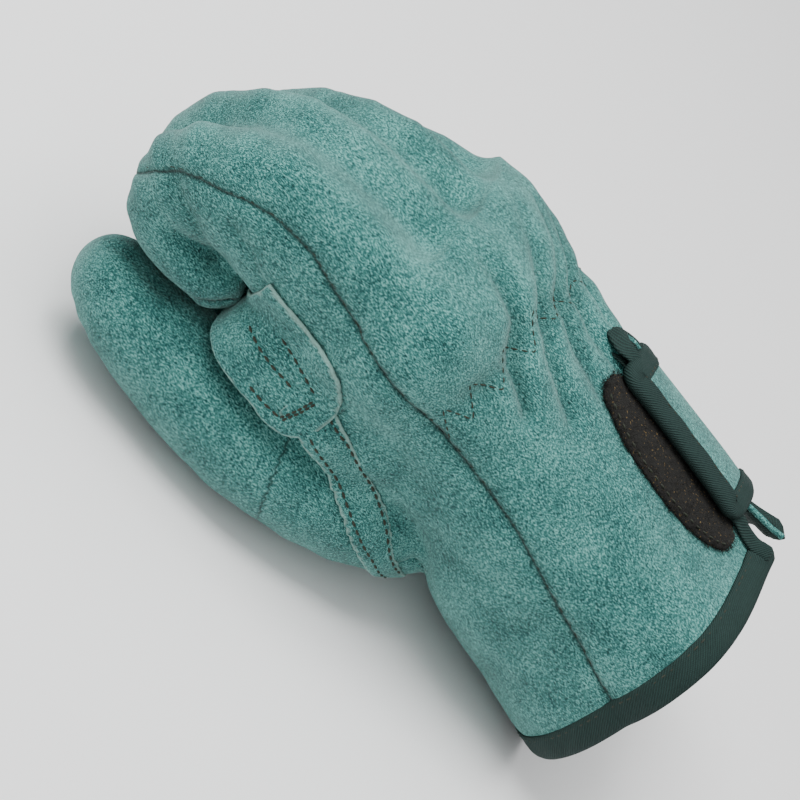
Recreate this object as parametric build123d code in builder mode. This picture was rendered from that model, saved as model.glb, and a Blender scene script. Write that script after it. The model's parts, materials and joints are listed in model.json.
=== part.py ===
from build123d import *
from math import acos, cos, degrees, hypot, radians, sin, tan
import os

os.makedirs("parts", exist_ok=True)

# A right-hand short welding glove in split leather, lying half closed with the back of the
# hand up. +X runs from the fingertips to the cuff, -Y is the thumb side and +Z is up.
# The origin is on the ground under the middle of the glove. All sizes are in millimetres.

# Place of the glove over its origin
shift_x = -0.6
shift_y = 3.0
shift_z = 0.5

# Leather, tape and thread
leather = 2.0
tape = 0.9
tape_width = 8.5
thread = 0.8
stitch_length = 2.2
stitch_pitch = 3.0
gap = 0.4
clear = 1.0

# Sections of the hand, cuff first: x, height of the centre, half width, half height
hand_sections = [
    (106, 40.1, 46.0, 39.6),
    (76, 45.7, 46.5, 42.0),
    (51, 48.8, 47.0, 43.0),
    (21, 62.1, 47.0, 36.0),
    (-9, 73.5, 50.0, 33.0),
    (-29, 73.1, 51.0, 29.0),
]

# Line of the side seams along the hand: x and height
side_seam = [(108, 50.0), (70, 58.6), (45, 67.6), (25, 70.0), (-9, 73.0), (-30, 73.1)]

# Knuckles: all four fingers turn about one line across the hand. A wedge over that line, on the
# back, leaves room for them to open
knuckle_x = -26.0
knuckle_z = 78.0
knuckle_travel = 20.0

# Fingers: name, middle of its width, half width, then the centre line from the knuckles
# to the tip as x, height and half thickness
finger_lines = {
    "index": (-38.2, 12.6, [(-29, 73, 24), (-52, 76, 19), (-70, 72.5, 17.5), (-86, 62, 16.5),
                            (-92.5, 50, 13.5), (-91, 38.5, 7)]),
    "middle": (-12.8, 12.4, [(-29, 73, 28), (-51, 76, 24), (-68, 71, 20.5), (-80, 59, 18),
                             (-84, 43, 15), (-83, 29, 11), (-82, 21, 6)]),
    "ring": (12.4, 12.4, [(-29, 73, 28), (-48, 76, 26), (-63, 66, 20.5), (-72, 51, 18),
                          (-74, 34, 14.5), (-72, 18, 10), (-71, 9, 6)]),
    "little": (37.4, 12.2, [(-29, 70, 22), (-43, 69, 18), (-55, 60, 16.5), (-62, 47, 15),
                            (-62, 34, 12), (-60, 24, 8)]),
}

# Thumb, from its heel on the palm to its tip: x, y, height, half width, half thickness
thumb_sections = [
    (38, -20, 24.0, 15, 12),
    (20, -26, 21.0, 20, 18),
    (-14, -35, 20.6, 20, 19.6),
    (-41, -39, 19.9, 18, 18.5),
    (-66, -40, 20.6, 16, 15.6),
    (-83, -39, 22.5, 13, 12.4),
    (-92, -38, 23.5, 7, 6.5),
]
thumb_pivot_x = 8.0
thumb_pivot_z = 31.0
thumb_travel = 15.0

# Wrist: elastic, slit and closure. Angles go round the hand from straight up, + to the little finger
elastic_x = 22.0
elastic_width = 10.0
elastic_thickness = 1.2
elastic_angle = 68.0
slit_start_x = 30.0
slit_angles = (10.0, 22.0)
strap_x = (35.0, 86.0)
strap_angles = (-14.0, 37.0)
root_angles = (41.0, 48.0)
loop_x = (33.0, 90.0)
loop_angles = (-24.0, 7.0)
loop_thickness = 1.6
hook_thickness = 1.2
hook_x = (40.0, 81.0)
hook_angles = (-11.0, 5.0)
strap_thickness = 2.0
strap_level = loop_thickness + gap + hook_thickness

# Web of palm leather between thumb and index finger, its patch and the lapped strip.
# They lie on one slanting plane: centre, length and width, and the lean of the plane
side_lean = 24.0
web_centre = (-18.0, -44.5, 50.0)
web_size = (52.0, 17.0)
patch_centre = (-33.0, -46.8, 49.5)
patch_size = (34.0, 19.0)
strip_centre = (9.0, -50.0, 41.5)
strip_size = (44.0, 9.0)
row_gap = 5.5


def place(x, y, z):
    """A point of the glove, moved over the origin."""
    return (x + shift_x, y + shift_y, z + shift_z)


def hand_section(x):
    """Centre height, half width and half height of the hand at x."""
    for (x1, z1, w1, h1), (x0, z0, w0, h0) in zip(hand_sections, hand_sections[1:]):
        if x >= x0 or (x0, z0, w0, h0) == hand_sections[-1]:
            t = (x - x0) / (x1 - x0)
            return z0 + t * (z1 - z0), w0 + t * (w1 - w0), h0 + t * (h1 - h0)


def on_hand(x, angle, level):
    """Point at an angle round the hand, at a height over its outer face."""
    z, w, h = hand_section(x)
    return place(x, (w + level) * sin(radians(angle)), z + (h + level) * cos(radians(angle)))


def seam_height(x):
    """Height of the side seams at x."""
    for (x1, z1), (x0, z0) in zip(side_seam, side_seam[1:]):
        if x >= x0:
            return z0 + (x - x0) / (x1 - x0) * (z1 - z0)
    return side_seam[-1][1]


def hand_tube(grow, x_high=None, x_low=None):
    """Solid hand, its faces moved out by grow, between two places on its length."""
    top = hand_sections[0][0] if x_high is None else x_high
    bottom = hand_sections[-1][0] if x_low is None else x_low
    stops = [top] + [s[0] for s in hand_sections if bottom < s[0] < top] + [bottom]
    with BuildPart() as tube:
        for x in stops:
            z, w, h = hand_section(x)
            with BuildSketch(Plane(origin=place(x, 0, z), x_dir=(0, 1, 0), z_dir=(1, 0, 0))):
                Ellipse(w + grow, h + grow)
        loft(ruled=True)
    return tube.part


def run_at(line, i):
    """Unit direction of a finger's centre line at one of its sections, in the side view."""
    if i == 0:
        return (-1.0, 0.0)
    before = line[i - 1]
    after = line[min(i + 1, len(line) - 1)]
    size = hypot(after[0] - before[0], after[1] - before[1])
    return ((after[0] - before[0]) / size, (after[1] - before[1]) / size)


def finger_tube(name, grow):
    """Solid finger, its faces moved out by grow."""
    y, half_width, line = finger_lines[name]
    last = len(line) - 1
    with BuildPart() as tube:
        for i, (x, z, half_height) in enumerate(line):
            run = run_at(line, i)
            narrow = {last: 0.55, last - 1: 0.9}.get(i, 1.0)
            ahead = {last: grow, 0: min(grow, 0)}.get(i, 0.0)
            centre = place(x + ahead * run[0], y, z + ahead * run[1])
            with BuildSketch(Plane(origin=centre, x_dir=(0, 1, 0), z_dir=(run[0], 0, run[1]))):
                Ellipse(half_width * narrow + grow, half_height + grow)
        loft(ruled=True)
    return tube.part


def thumb_tube(grow):
    """Solid thumb, its faces moved out by grow."""
    last = len(thumb_sections) - 1
    with BuildPart() as tube:
        for i, (x, y, z, half_width, half_height) in enumerate(thumb_sections):
            back = -grow if i == last else 0.0
            with BuildSketch(Plane(origin=place(x + back, y, z), x_dir=(0, 1, 0), z_dir=(-1, 0, 0))):
                Ellipse(half_width + grow, half_height + grow)
        loft(ruled=True)
    return tube.part


def side_region(points, reach=140):
    """Everything inside an outline drawn on the side view."""
    with BuildPart() as region:
        with BuildSketch(Plane.XZ):
            with BuildLine():
                Polyline(*[(x + shift_x, z + shift_z) for x, z in points], close=True)
            make_face()
        extrude(amount=reach, both=True)
    return region.part


def sector(x_range, angles, level):
    """Wedge of the space round the hand between two angles."""
    z = hand_section(sum(x_range) / 2)[0]
    far = 90 + level
    edge = [(far * sin(radians(a)), far * cos(radians(a))) for a in angles]
    with BuildPart() as wedge:
        with BuildSketch(Plane(origin=place(x_range[0], 0, z), x_dir=(0, 1, 0), z_dir=(1, 0, 0))):
            with BuildLine():
                Polyline((0, 0), edge[0], edge[1], close=True)
            make_face()
        extrude(amount=x_range[1] - x_range[0])
    return wedge.part


def hand_layer(x_range, angles, low, high):
    """Sheet that follows the hand's outer face, from one height over it to another."""
    return (hand_tube(high) - hand_tube(low)) & sector(x_range, angles, high)


def stitches(points):
    """One straight stitch between each pair of points."""
    with BuildPart() as row:
        for start, end in points:
            run = Vector(*end) - Vector(*start)
            with BuildSketch(Plane(origin=start, z_dir=run)):
                Rectangle(thread, thread)
            extrude(amount=run.length)
    return row.part


def side_plane(centre):
    """Plane that lies on the thumb side of the palm, leaning outwards towards the ground."""
    lean = radians(side_lean)
    return Plane(origin=place(*centre), x_dir=(1, 0, 0), z_dir=(0, -cos(lean), sin(lean)))


def dashes(plane, start, end):
    """Ends of evenly pitched stitches along a line drawn on a plane."""
    length = hypot(end[0] - start[0], end[1] - start[1])
    count = int(length / stitch_pitch)
    ends = []
    for i in range(count):
        t0 = i / count
        t1 = t0 + stitch_length / length
        ends.append([tuple(plane.from_local_coords((start[0] + t * (end[0] - start[0]),
                                                    start[1] + t * (end[1] - start[1]), leather)))
                     for t in (t0, t1)])
    return ends


def row_along(x_range, angle, level, margin=4):
    """Ends of the stitches of a row along the hand at one angle."""
    x_low, x_high = x_range[0] + margin, x_range[1] - margin
    count = int((x_high - x_low) / (stitch_pitch + 1))
    stops = [x_low + i * (x_high - x_low) / count for i in range(count)]
    return [(on_hand(x, angle, level), on_hand(x + stitch_length, angle, level)) for x in stops]


def beside_line(name, offset):
    """Side view points beside a finger's centre line, + on the back of the finger."""
    line = finger_lines[name][2]
    points = []
    for i, (x, z, _) in enumerate(line):
        run = run_at(line, i)
        points.append((x + offset * run[1], z - offset * run[0]))
    run = run_at(line, len(line) - 1)
    points.append((points[-1][0] + 12 * run[0], points[-1][1] + 12 * run[1]))
    return points


# Shells shared by the panels
hand_shell = hand_tube(0) - hand_tube(-leather, 107, -30)
above_seam = side_region(side_seam + [(-30, 130), (108, 130)])
below_seam = side_region(side_seam + [(-30, -20), (108, -20)])

# The hinge wedge: everything on the hand side of it, and everything on the finger side
far = 150
wedge_top = (far - knuckle_z) * tan(radians(knuckle_travel + 0.5))
hand_zone = side_region([(knuckle_x + gap, -far), (knuckle_x + gap, knuckle_z),
                         (knuckle_x + gap + wedge_top, far), (far, far), (far, -far)])
finger_zone = side_region([(knuckle_x, -far), (knuckle_x, far), (-far, far), (-far, -far)])

# Palm and back: one shell each, parted along the side seams
finger_room = (hand_tube(clear) & finger_zone) + finger_tube("index", clear)
with BuildPart() as thumb_web:
    with BuildSketch(side_plane(web_centre)):
        Rectangle(*web_size)
    extrude(amount=leather)
    add(finger_room, mode=Mode.SUBTRACT)
with BuildPart() as palm_panel:
    add(hand_shell & below_seam & hand_zone)
    add(thumb_web.part)
palm_panel.part.label = "palm_panel"

slit = sector((slit_start_x, 120), slit_angles, 20)
with BuildPart() as back_panel:
    add((hand_shell & above_seam & hand_zone) - slit)
back_panel.part.label = "back_panel"

# Elastic band inside the back
with BuildPart() as wrist_elastic:
    add(hand_layer((elastic_x - elastic_width / 2, elastic_x + elastic_width / 2),
                   (-elastic_angle, elastic_angle), -leather - elastic_thickness, -leather))
wrist_elastic.part.label = "wrist_elastic"

# Twill tape folded over the cuff's edge
cuff_x = hand_sections[0][0]
with BuildPart() as cuff_binding:
    add(hand_tube(tape, cuff_x + tape, cuff_x - tape_width))
    add(hand_tube(-leather - tape, cuff_x + 5, cuff_x - 20), mode=Mode.SUBTRACT)
    add(hand_tube(0, cuff_x, cuff_x - 20) - hand_tube(-leather, cuff_x + 1, cuff_x - 21),
        mode=Mode.SUBTRACT)
    add(slit, mode=Mode.SUBTRACT)
cuff_binding.part.label = "cuff_binding"

# Twill tape folded over both edges of the wrist slit
slit_edges = [(slit_angles[0] - 5, slit_angles[0] + 1), (slit_angles[1] - 1, slit_angles[1] + 5)]
slit_run = (slit_start_x, cuff_x - tape_width - gap)
with BuildPart() as slit_binding:
    for edge in slit_edges:
        add(hand_layer(slit_run, edge, -leather - tape, tape))
    add(hand_shell - slit, mode=Mode.SUBTRACT)
slit_binding.part.label = "slit_binding"

# Loop half of the closure, sewn flat on the back beside the slit
with BuildPart() as loop_patch:
    add(hand_layer(loop_x, (loop_angles[0], slit_edges[0][0] - 0.6), 0, loop_thickness))
loop_patch.part.label = "loop_patch"

# Closure strap: its sewn root, the free strap, its tape edge and the hook patch under it
with BuildPart() as strap_root:
    add(hand_layer(strap_x, root_angles, 0, strap_level + strap_thickness))
strap_root.part.label = "strap_root"

band = (strap_x[0] + tape_width, strap_x[1] - tape_width)
band_angles = (strap_angles[0] + 10, strap_angles[1])
with BuildPart() as strap:
    add(hand_layer(strap_x, strap_angles, strap_level, strap_level + strap_thickness))
strap.part.label = "strap"

with BuildPart() as strap_binding:
    add(hand_layer((strap_x[0] - tape, strap_x[1] + tape), (strap_angles[0] - 1.2, strap_angles[1]),
                   strap_level - tape, strap_level + strap_thickness + tape))
    add(hand_layer(band, band_angles, strap_level - 3, strap_level + 5), mode=Mode.SUBTRACT)
    add(strap.part, mode=Mode.SUBTRACT)
    add(hand_layer((strap_x[0] - 5, strap_x[1] + 5), (strap_angles[0] - 3, strap_angles[1] + 3),
                   strap_level - 2, strap_level), mode=Mode.SUBTRACT)
strap_binding.part.label = "strap_binding"

with BuildPart() as hook_patch:
    add(hand_layer(hook_x, hook_angles, strap_level - hook_thickness, strap_level))
hook_patch.part.label = "hook_patch"

# Thumb: its heel stays with the palm and the rest turns at its root
hand_room = hand_tube(gap)
thumb_shell = thumb_tube(0) - thumb_tube(-leather) - hand_room
lean = (thumb_pivot_z + 5) * tan(radians(thumb_travel + 1.5))
heel_zone = side_region([(thumb_pivot_x + gap, -5), (thumb_pivot_x + gap, 80), (90, 80), (90, -5)])
thumb_zone = side_region([(thumb_pivot_x - lean, -5), (thumb_pivot_x, thumb_pivot_z),
                          (thumb_pivot_x, 90), (-130, 90), (-130, -5)])
split_z = 21.0
upper = side_region([(-140, split_z), (90, split_z), (90, 90), (-140, 90)])
lower = side_region([(-140, split_z), (90, split_z), (90, -20), (-140, -20)])
with BuildPart() as thumb_heel:
    add((thumb_tube(0) - thumb_tube(-leather) - hand_tube(0)) & heel_zone)
thumb_heel.part.label = "thumb_heel"
with BuildPart() as thumb_outer:
    add(thumb_shell & thumb_zone & upper)
thumb_outer.part.label = "thumb_outer"
with BuildPart() as thumb_inner:
    add(thumb_shell & thumb_zone & lower)
thumb_inner.part.label = "thumb_inner"

# Fingers: backs and fronts parted at each finger's centre line, with strips between fingers
names = list(finger_lines)
shells = {name: finger_tube(name, 0) - finger_tube(name, -leather) for name in names}
strip_half = 6.0


def line_region(name, low, high):
    """Side view band beside a finger's centre line."""
    return side_region(beside_line(name, low) + beside_line(name, high)[::-1])


def finger_side(name, side):
    """Half of space on one side of the middle of a finger, - on the thumb side."""
    y = finger_lines[name][0]
    with BuildPart() as half:
        with BuildSketch(Plane.XY.offset(-20)):
            with Locations((-70, y + side * 30 + shift_y)):
                Rectangle(160, 60)
        extrude(amount=180)
    return half.part


def gusset(name, side):
    """Side wall of a finger, between its back and its front."""
    return shells[name] & line_region(name, -strip_half, strip_half) & finger_side(name, side)


gussets = {(name, side): gusset(name, side) for name in names for side in (-1, 1)
           if (name, side) not in (("index", -1), ("little", 1))}
knuckle_shell = hand_shell & finger_zone
with BuildPart() as finger_backs:
    add(knuckle_shell & above_seam)
    for name in names:
        add(shells[name] & line_region(name, 0, 60))
    for piece in gussets.values():
        add(piece, mode=Mode.SUBTRACT)
finger_backs.part.label = "finger_backs"
with BuildPart() as finger_fronts:
    add(knuckle_shell & below_seam)
    for name in names:
        add(shells[name] - line_region(name, 0, 60))
    for piece in gussets.values():
        add(piece, mode=Mode.SUBTRACT)
finger_fronts.part.label = "finger_fronts"

fourchettes = []
for near, far in zip(names, names[1:]):
    with BuildPart() as fourchette:
        add(gussets[(near, 1)])
        add(gussets[(far, -1)])
    fourchette.part.label = f"fourchette_{near}_{far}"
    fourchettes.append(fourchette)

# Patch over the crotch of the thumb, rounded at its lower end, and the lapped strip beside it
patch_plane = side_plane(patch_centre)
with BuildPart() as thumb_crotch_patch:
    with BuildSketch(patch_plane):
        RectangleRounded(*patch_size, 8)
    extrude(amount=leather)
    add(finger_room, mode=Mode.SUBTRACT)
thumb_crotch_patch.part.label = "thumb_crotch_patch"

strip_plane = side_plane(strip_centre)
with BuildPart() as thumb_seam_strip:
    with BuildSketch(strip_plane):
        Rectangle(*strip_size)
    extrude(amount=leather)
    add(thumb_crotch_patch.part, mode=Mode.SUBTRACT)
thumb_seam_strip.part.label = "thumb_seam_strip"

# Threads
half_x = patch_size[0] / 2
with BuildPart() as crotch_patch_stitching:
    for start_y, end_y in ((-7.0, -2.5), (0.0, 0.0), (7.0, 2.5)):
        add(stitches(dashes(patch_plane, (-half_x + 1, start_y), (half_x - 7, end_y))))
    add(stitches(dashes(patch_plane, (half_x - 6, -6.5), (half_x - 6, 6.5))))
crotch_patch_stitching.part.label = "crotch_patch_stitching"

with BuildPart() as lap_seam_stitching:
    for y in (-row_gap / 2, row_gap / 2):
        add(stitches(dashes(strip_plane, (-strip_size[0] / 2 + 2, y), (strip_size[0] / 2 - 1, y))))
lap_seam_stitching.part.label = "lap_seam_stitching"

zigzag_step = 9.0
zigzag_half = 4.0
zigzag_turns = 15
zigzag_first = -zigzag_step * (zigzag_turns - 1) / 2
turns = [(elastic_x + zigzag_half * (-1) ** i, zigzag_first + zigzag_step * i)
         for i in range(zigzag_turns)]
corners = [on_hand(x, angle, 0.0) for x, angle in turns]
with BuildPart() as elastic_stitching:
    add(stitches(list(zip(corners, corners[1:]))))
elastic_stitching.part.label = "elastic_stitching"

cuff_row_x = cuff_x - tape_width + 1.5
with BuildPart() as cuff_stitching:
    add(stitches([(on_hand(cuff_row_x, a, tape), on_hand(cuff_row_x, a + 4, tape))
                  for a in range(26, 364, 8)]))
cuff_stitching.part.label = "cuff_stitching"

seam_ends = []
for side in (-1, 1):
    for x in range(12, 96, 4):
        pair = []
        for end_x in (x, x + 3):
            z, w, h = hand_section(end_x)
            angle = side * degrees(acos((seam_height(end_x) - z) / h))
            pair.append(on_hand(end_x, angle, -leather - thread / 2))
        seam_ends.append(pair)
with BuildPart() as side_seam_thread:
    add(stitches(seam_ends))
side_seam_thread.part.label = "side_seam_thread"

loop_rows = (loop_angles[0] + 1.5, slit_edges[0][0] - 2.0)
with BuildPart() as loop_patch_stitching:
    for angle in loop_rows:
        add(stitches(row_along(loop_x, angle, loop_thickness - gap)))
loop_patch_stitching.part.label = "loop_patch_stitching"

strap_top = strap_level + strap_thickness + tape
strap_row = strap_angles[0] + 8.5
with BuildPart() as strap_stitching:
    add(stitches(row_along(strap_x, strap_row, strap_top)))
strap_stitching.part.label = "strap_stitching"

index_y, index_half, index_line = finger_lines["index"]
with BuildPart() as finger_seam_thread:
    points = [place(x, index_y - index_half + leather + thread / 2, z) for x, z, _ in index_line[:-1]]
    add(stitches(list(zip(points, points[1:]))))
finger_seam_thread.part.label = "finger_seam_thread"

with BuildPart() as thumb_seam_thread:
    points = [place(x, y - w + leather + thread / 2, split_z) for x, y, z, w, h in thumb_sections[2:-1]]
    add(stitches(list(zip(points, points[1:]))))
thumb_seam_thread.part.label = "thumb_seam_thread"

export = [palm_panel, back_panel, wrist_elastic, cuff_binding, slit_binding, loop_patch, strap_root,
          strap, strap_binding, hook_patch, thumb_heel, thumb_outer, thumb_inner,
          finger_backs, finger_fronts, thumb_crotch_patch, thumb_seam_strip,
          crotch_patch_stitching, lap_seam_stitching, elastic_stitching, cuff_stitching,
          side_seam_thread, loop_patch_stitching, strap_stitching, finger_seam_thread,
          thumb_seam_thread] + fourchettes
for piece in export:
    export_step(piece.part, f"parts/{piece.part.label}.step")
    print(piece.part.label, round(piece.part.volume), len(piece.part.solids()))

low = [min(tuple(piece.part.bounding_box().min)[i] for piece in export) for i in range(3)]
high = [max(tuple(piece.part.bounding_box().max)[i] for piece in export) for i in range(3)]
print("box", [round(v, 2) for v in low], [round(v, 2) for v in high])
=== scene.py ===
# %% [markdown]
# # A short suede welding glove
# The glove is sewn from a few pieces of split cowhide: a palm, a back, a thumb and narrow strips between
# the fingers. The seams are turned inside, so each one shows as a dark crease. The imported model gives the
# places and the moving bodies, and this script builds the soft leather, tape and thread around it.

# %% Start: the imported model
import json
import math

import bmesh
import bpy
import numpy as np
from mathutils import Matrix, Vector, noise
from mathutils.bvhtree import BVHTree


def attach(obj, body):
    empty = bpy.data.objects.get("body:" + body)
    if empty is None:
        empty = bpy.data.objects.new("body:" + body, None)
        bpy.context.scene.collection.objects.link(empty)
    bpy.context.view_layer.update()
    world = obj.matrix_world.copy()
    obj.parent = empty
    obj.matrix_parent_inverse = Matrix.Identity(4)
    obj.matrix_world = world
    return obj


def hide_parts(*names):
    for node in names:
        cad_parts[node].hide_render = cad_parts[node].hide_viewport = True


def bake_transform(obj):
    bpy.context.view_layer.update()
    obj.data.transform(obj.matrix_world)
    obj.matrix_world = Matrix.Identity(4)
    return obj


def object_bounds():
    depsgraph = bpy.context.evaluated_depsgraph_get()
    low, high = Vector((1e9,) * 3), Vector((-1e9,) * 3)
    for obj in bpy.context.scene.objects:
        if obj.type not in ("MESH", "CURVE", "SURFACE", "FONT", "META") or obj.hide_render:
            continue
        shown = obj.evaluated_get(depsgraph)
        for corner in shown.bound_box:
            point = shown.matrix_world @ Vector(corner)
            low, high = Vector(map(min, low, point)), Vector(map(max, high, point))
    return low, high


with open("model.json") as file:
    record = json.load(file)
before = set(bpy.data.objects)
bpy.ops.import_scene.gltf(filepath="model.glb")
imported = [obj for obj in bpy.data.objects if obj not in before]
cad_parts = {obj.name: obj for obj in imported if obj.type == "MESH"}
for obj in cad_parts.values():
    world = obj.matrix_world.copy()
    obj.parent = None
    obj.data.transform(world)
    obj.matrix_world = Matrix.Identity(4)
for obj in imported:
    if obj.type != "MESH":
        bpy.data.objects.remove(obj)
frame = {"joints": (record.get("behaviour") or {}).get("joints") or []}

cad_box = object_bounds()
MM = 0.001
joints = {joint["name"]: joint for joint in frame["joints"]}
knuckle = np.array(joints["knuckle_flex"]["pos_m"]) / MM
origin = knuckle - np.array([-26.0, 0.0, 78.0])
print("pattern origin in mm", origin.round(2))


# %% [markdown]
# ## The stuffed form
# A glove that has been worn keeps the shape of the hand. The form is described as distances: a tube of
# changing oval section for the hand, and chains of ovals for each finger and the thumb. Distances can be
# merged with a soft minimum, which makes the same webs and valleys that leather makes between fingers.
# Metaballs or a voxel remesh would also merge shapes, but a distance lets each valley have its own depth.

# %% Pattern sizes, in millimetres
hand_x = [112, 100, 76, 51, 36, 21, 6, -9, -22, -34]
hand_z = [39.0, 41.0, 45.7, 49.5, 55.0, 62.0, 69.0, 72.5, 73.5, 73.5]
hand_w = [47.5, 47.0, 46.0, 46.5, 46.5, 46.0, 47.5, 50.0, 51.0, 50.0]
hand_h = [41.0, 40.5, 42.0, 43.0, 40.0, 35.0, 32.3, 32.0, 30.2, 26.5]
cuff_end = 103.5
cuff_tilt = 3.4
cuff_flare = 4.5

finger_lines = {
    "index": (-37.6, 13.2, [(-20, 74, 24), (-38, 76, 22), (-54, 77, 21), (-72, 76, 19.5), (-87.0, 68.5, 17.0),
                            (-91.5, 58.5, 12.2), (-86.5, 50.3, 10.3), (-77, 48.2, 9.8), (-68, 49.0, 9.3)]),
    "middle": (-12.6, 12.9,
               [(-20, 74, 25.5), (-38, 75.5, 24.5), (-54, 76.5, 23.7), (-73, 75.2, 20.7), (-86, 64.5, 17.5),
                             (-89, 48, 14.5), (-84, 35, 12), (-74, 29, 10.5), (-61, 29, 10)]),
    "ring": (12.4, 12.7, [(-20, 73, 24.5), (-36, 74, 24), (-52, 73.5, 23), (-67, 67.5, 20.5), (-76, 54, 18),
                          (-77, 37, 14.5), (-72, 24, 12), (-62, 18, 10), (-52, 21, 9.5)]),
    "little": (36.8, 12.0, [(-20, 70, 20), (-34, 69, 18.5), (-46, 65, 17.5), (-55, 58, 16), (-61, 47, 14),
                            (-61, 36, 12), (-57, 29, 10), (-50, 28, 9.5)]),
}
thumb_line = [(44, -18, 30.0, 8, 6), (26, -25, 26.0, 14.5, 12.5), (6, -33, 22.3, 18.3, 17.0),
              (-16, -37.5, 20.6, 19.3, 18.6), (-41, -39.5, 19.6, 18.5, 18.2), (-64, -40, 20.6, 16.5, 16.2),
              (-78.5, -39.5, 22.8, 14.2, 14.0), (-84.6, -38.5, 24.6, 12.0, 12.0)]
web_line = [(20, -24, 44.0, 14, 12), (-6, -34, 48.0, 14, 13), (-27, -39, 49.0, 10, 13.5),
            (-46, -39.5, 49.5, 9, 13)]


# %% Distances to the parts of the form
def smooth_curve(stops, values):
    """A rounded version of straight lines through the given stops."""
    order = np.argsort(stops)
    fine = np.arange(min(stops), max(stops) + 0.5, 0.5)
    line = np.interp(fine, np.array(stops, float)[order], np.array(values, float)[order])
    window = np.hanning(41)
    padded = np.concatenate([np.full(20, line[0]), line, np.full(20, line[-1])])
    return fine, np.convolve(padded, window / window.sum(), mode="valid")


section_curves = [smooth_curve(hand_x, values) for values in (hand_z, hand_w, hand_h)]


def hand_section(x):
    """Centre height, half width and half height of the hand at x."""
    return [np.interp(x, fine, line) for fine, line in section_curves]


def hand_distance(p):
    """Distance to the tube of the hand, which runs from the knuckles out past the cuff."""
    zc, w, h = hand_section(p[:, 0])
    dy = p[:, 1]
    dz = p[:, 2] - zc
    h = h + cuff_flare * np.clip((p[:, 0] - 78) / 30, 0, 1) ** 1.5 * np.clip(dz / 20, 0, 1)
    power = 2.25 + 0.55 * np.clip((p[:, 0] - 52) / 40, 0, 1)
    ratio = (np.abs(dy / w) ** power + np.abs(dz / h) ** power) ** (1 / power) + 1e-6
    reach = np.hypot(dy, dz)
    side = reach * (1 - 1 / ratio)
    return np.maximum(side, (-30 - p[:, 0]))


def chain_distance(p, stops):
    """Distance to a chain of ovals: each stop is a centre, a half width and a half thickness."""
    best = np.full(len(p), 1e3, np.float32)
    for (ax, ay, az, aw, ah), (bx, by, bz, bw, bh) in zip(stops, stops[1:]):
        a = np.array([ax, ay, az], np.float32)
        run = np.array([bx - ax, by - ay, bz - az], np.float32)
        length = float(np.linalg.norm(run))
        along = run / length
        across = np.array([0, 1, 0], np.float32) - along * along[1]
        across /= np.linalg.norm(across)
        up = np.cross(along, across)
        d = p - a
        t = np.clip(d @ along / length, 0, 1)
        d = d - t[:, None] * run
        w = aw + t * (bw - aw)
        h = ah + t * (bh - ah)
        ratio = np.sqrt((d @ across / w) ** 2 + (d @ up / h) ** 2
                        + (d @ along / np.minimum(w, h)) ** 2) + 1e-6
        reach = np.sqrt((d ** 2).sum(1))
        best = np.minimum(best, reach * (1 - 1 / ratio))
    return best


def soft_min(a, b, k):
    """The smaller distance, with the valley between the two filled over a width k."""
    mix = np.clip(0.5 + 0.5 * (b - a) / k, 0, 1)
    return b + (a - b) * mix - k * mix * (1 - mix)


def rounded(stops):
    """More stops along a chain, so that its bends are curves."""
    stops = np.array(stops, float)
    ends = np.vstack([2 * stops[0] - stops[1], stops, 2 * stops[-1] - stops[-2]])
    out = []
    for i in range(1, len(ends) - 2):
        p0, p1, p2, p3 = ends[i - 1:i + 3]
        for t in (0.0, 0.5):
            out.append(0.5 * (2 * p1 + (p2 - p0) * t + (2 * p0 - 5 * p1 + 4 * p2 - p3) * t * t
                              + (3 * p1 - p0 - 3 * p2 + p3) * t ** 3))
    out.append(stops[-1])
    return out


finger_stops = {name: rounded([(x, y, z, w, h) for x, z, h in line])
                for name, (y, w, line) in finger_lines.items()}
finger_stops = {name: [(x, y, z, w * min(1.0, 0.55 + h / 40), h) for x, y, z, w, h in stops]
                for name, stops in finger_stops.items()}
thumb_stops = rounded(thumb_line)
web_stops = rounded(web_line)


def form_distance(p):
    """Distance to the whole stuffed glove, and the separate distances of palm side and thumb."""
    hand = hand_distance(p)
    fingers = None
    for name in finger_lines:
        one = chain_distance(p, finger_stops[name])
        if fingers is None:
            fingers = one
            continue
        back = np.clip((p[:, 2] - 56) / 22, 0, 1) * np.clip((p[:, 0] + 108) / 26, 0, 1)
        fingers = soft_min(fingers, one, 2.0 + 17.0 * back)
    web = chain_distance(p, web_stops)
    body = soft_min(hand, fingers, 9.0)
    body = soft_min(body, web, 7.0)
    thumb = chain_distance(p, thumb_stops)
    near = np.clip((p[:, 0] + 60) / 30, 0, 1) * (1 - 0.6 * np.clip((p[:, 0] - 8) / 26, 0, 1))
    return soft_min(body, thumb, 1.0 + 7.0 * near), body, thumb


# %% [markdown]
# ## From distances to a mesh
# Surface nets: every cell of a grid that the skin passes through gets one point, at the middle of the
# places where the skin crosses its edges, and every crossed grid edge gets one four-sided face. The
# points are then pulled onto the exact skin. The faces come out small and even, good for folds.

# %% Surface net
cell = 1.25
low = np.array([-110.0, -60.0, -3.0])
high = np.array([112.0, 54.0, 109.0])
counts = np.ceil((high - low) / cell).astype(int) + 1


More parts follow.
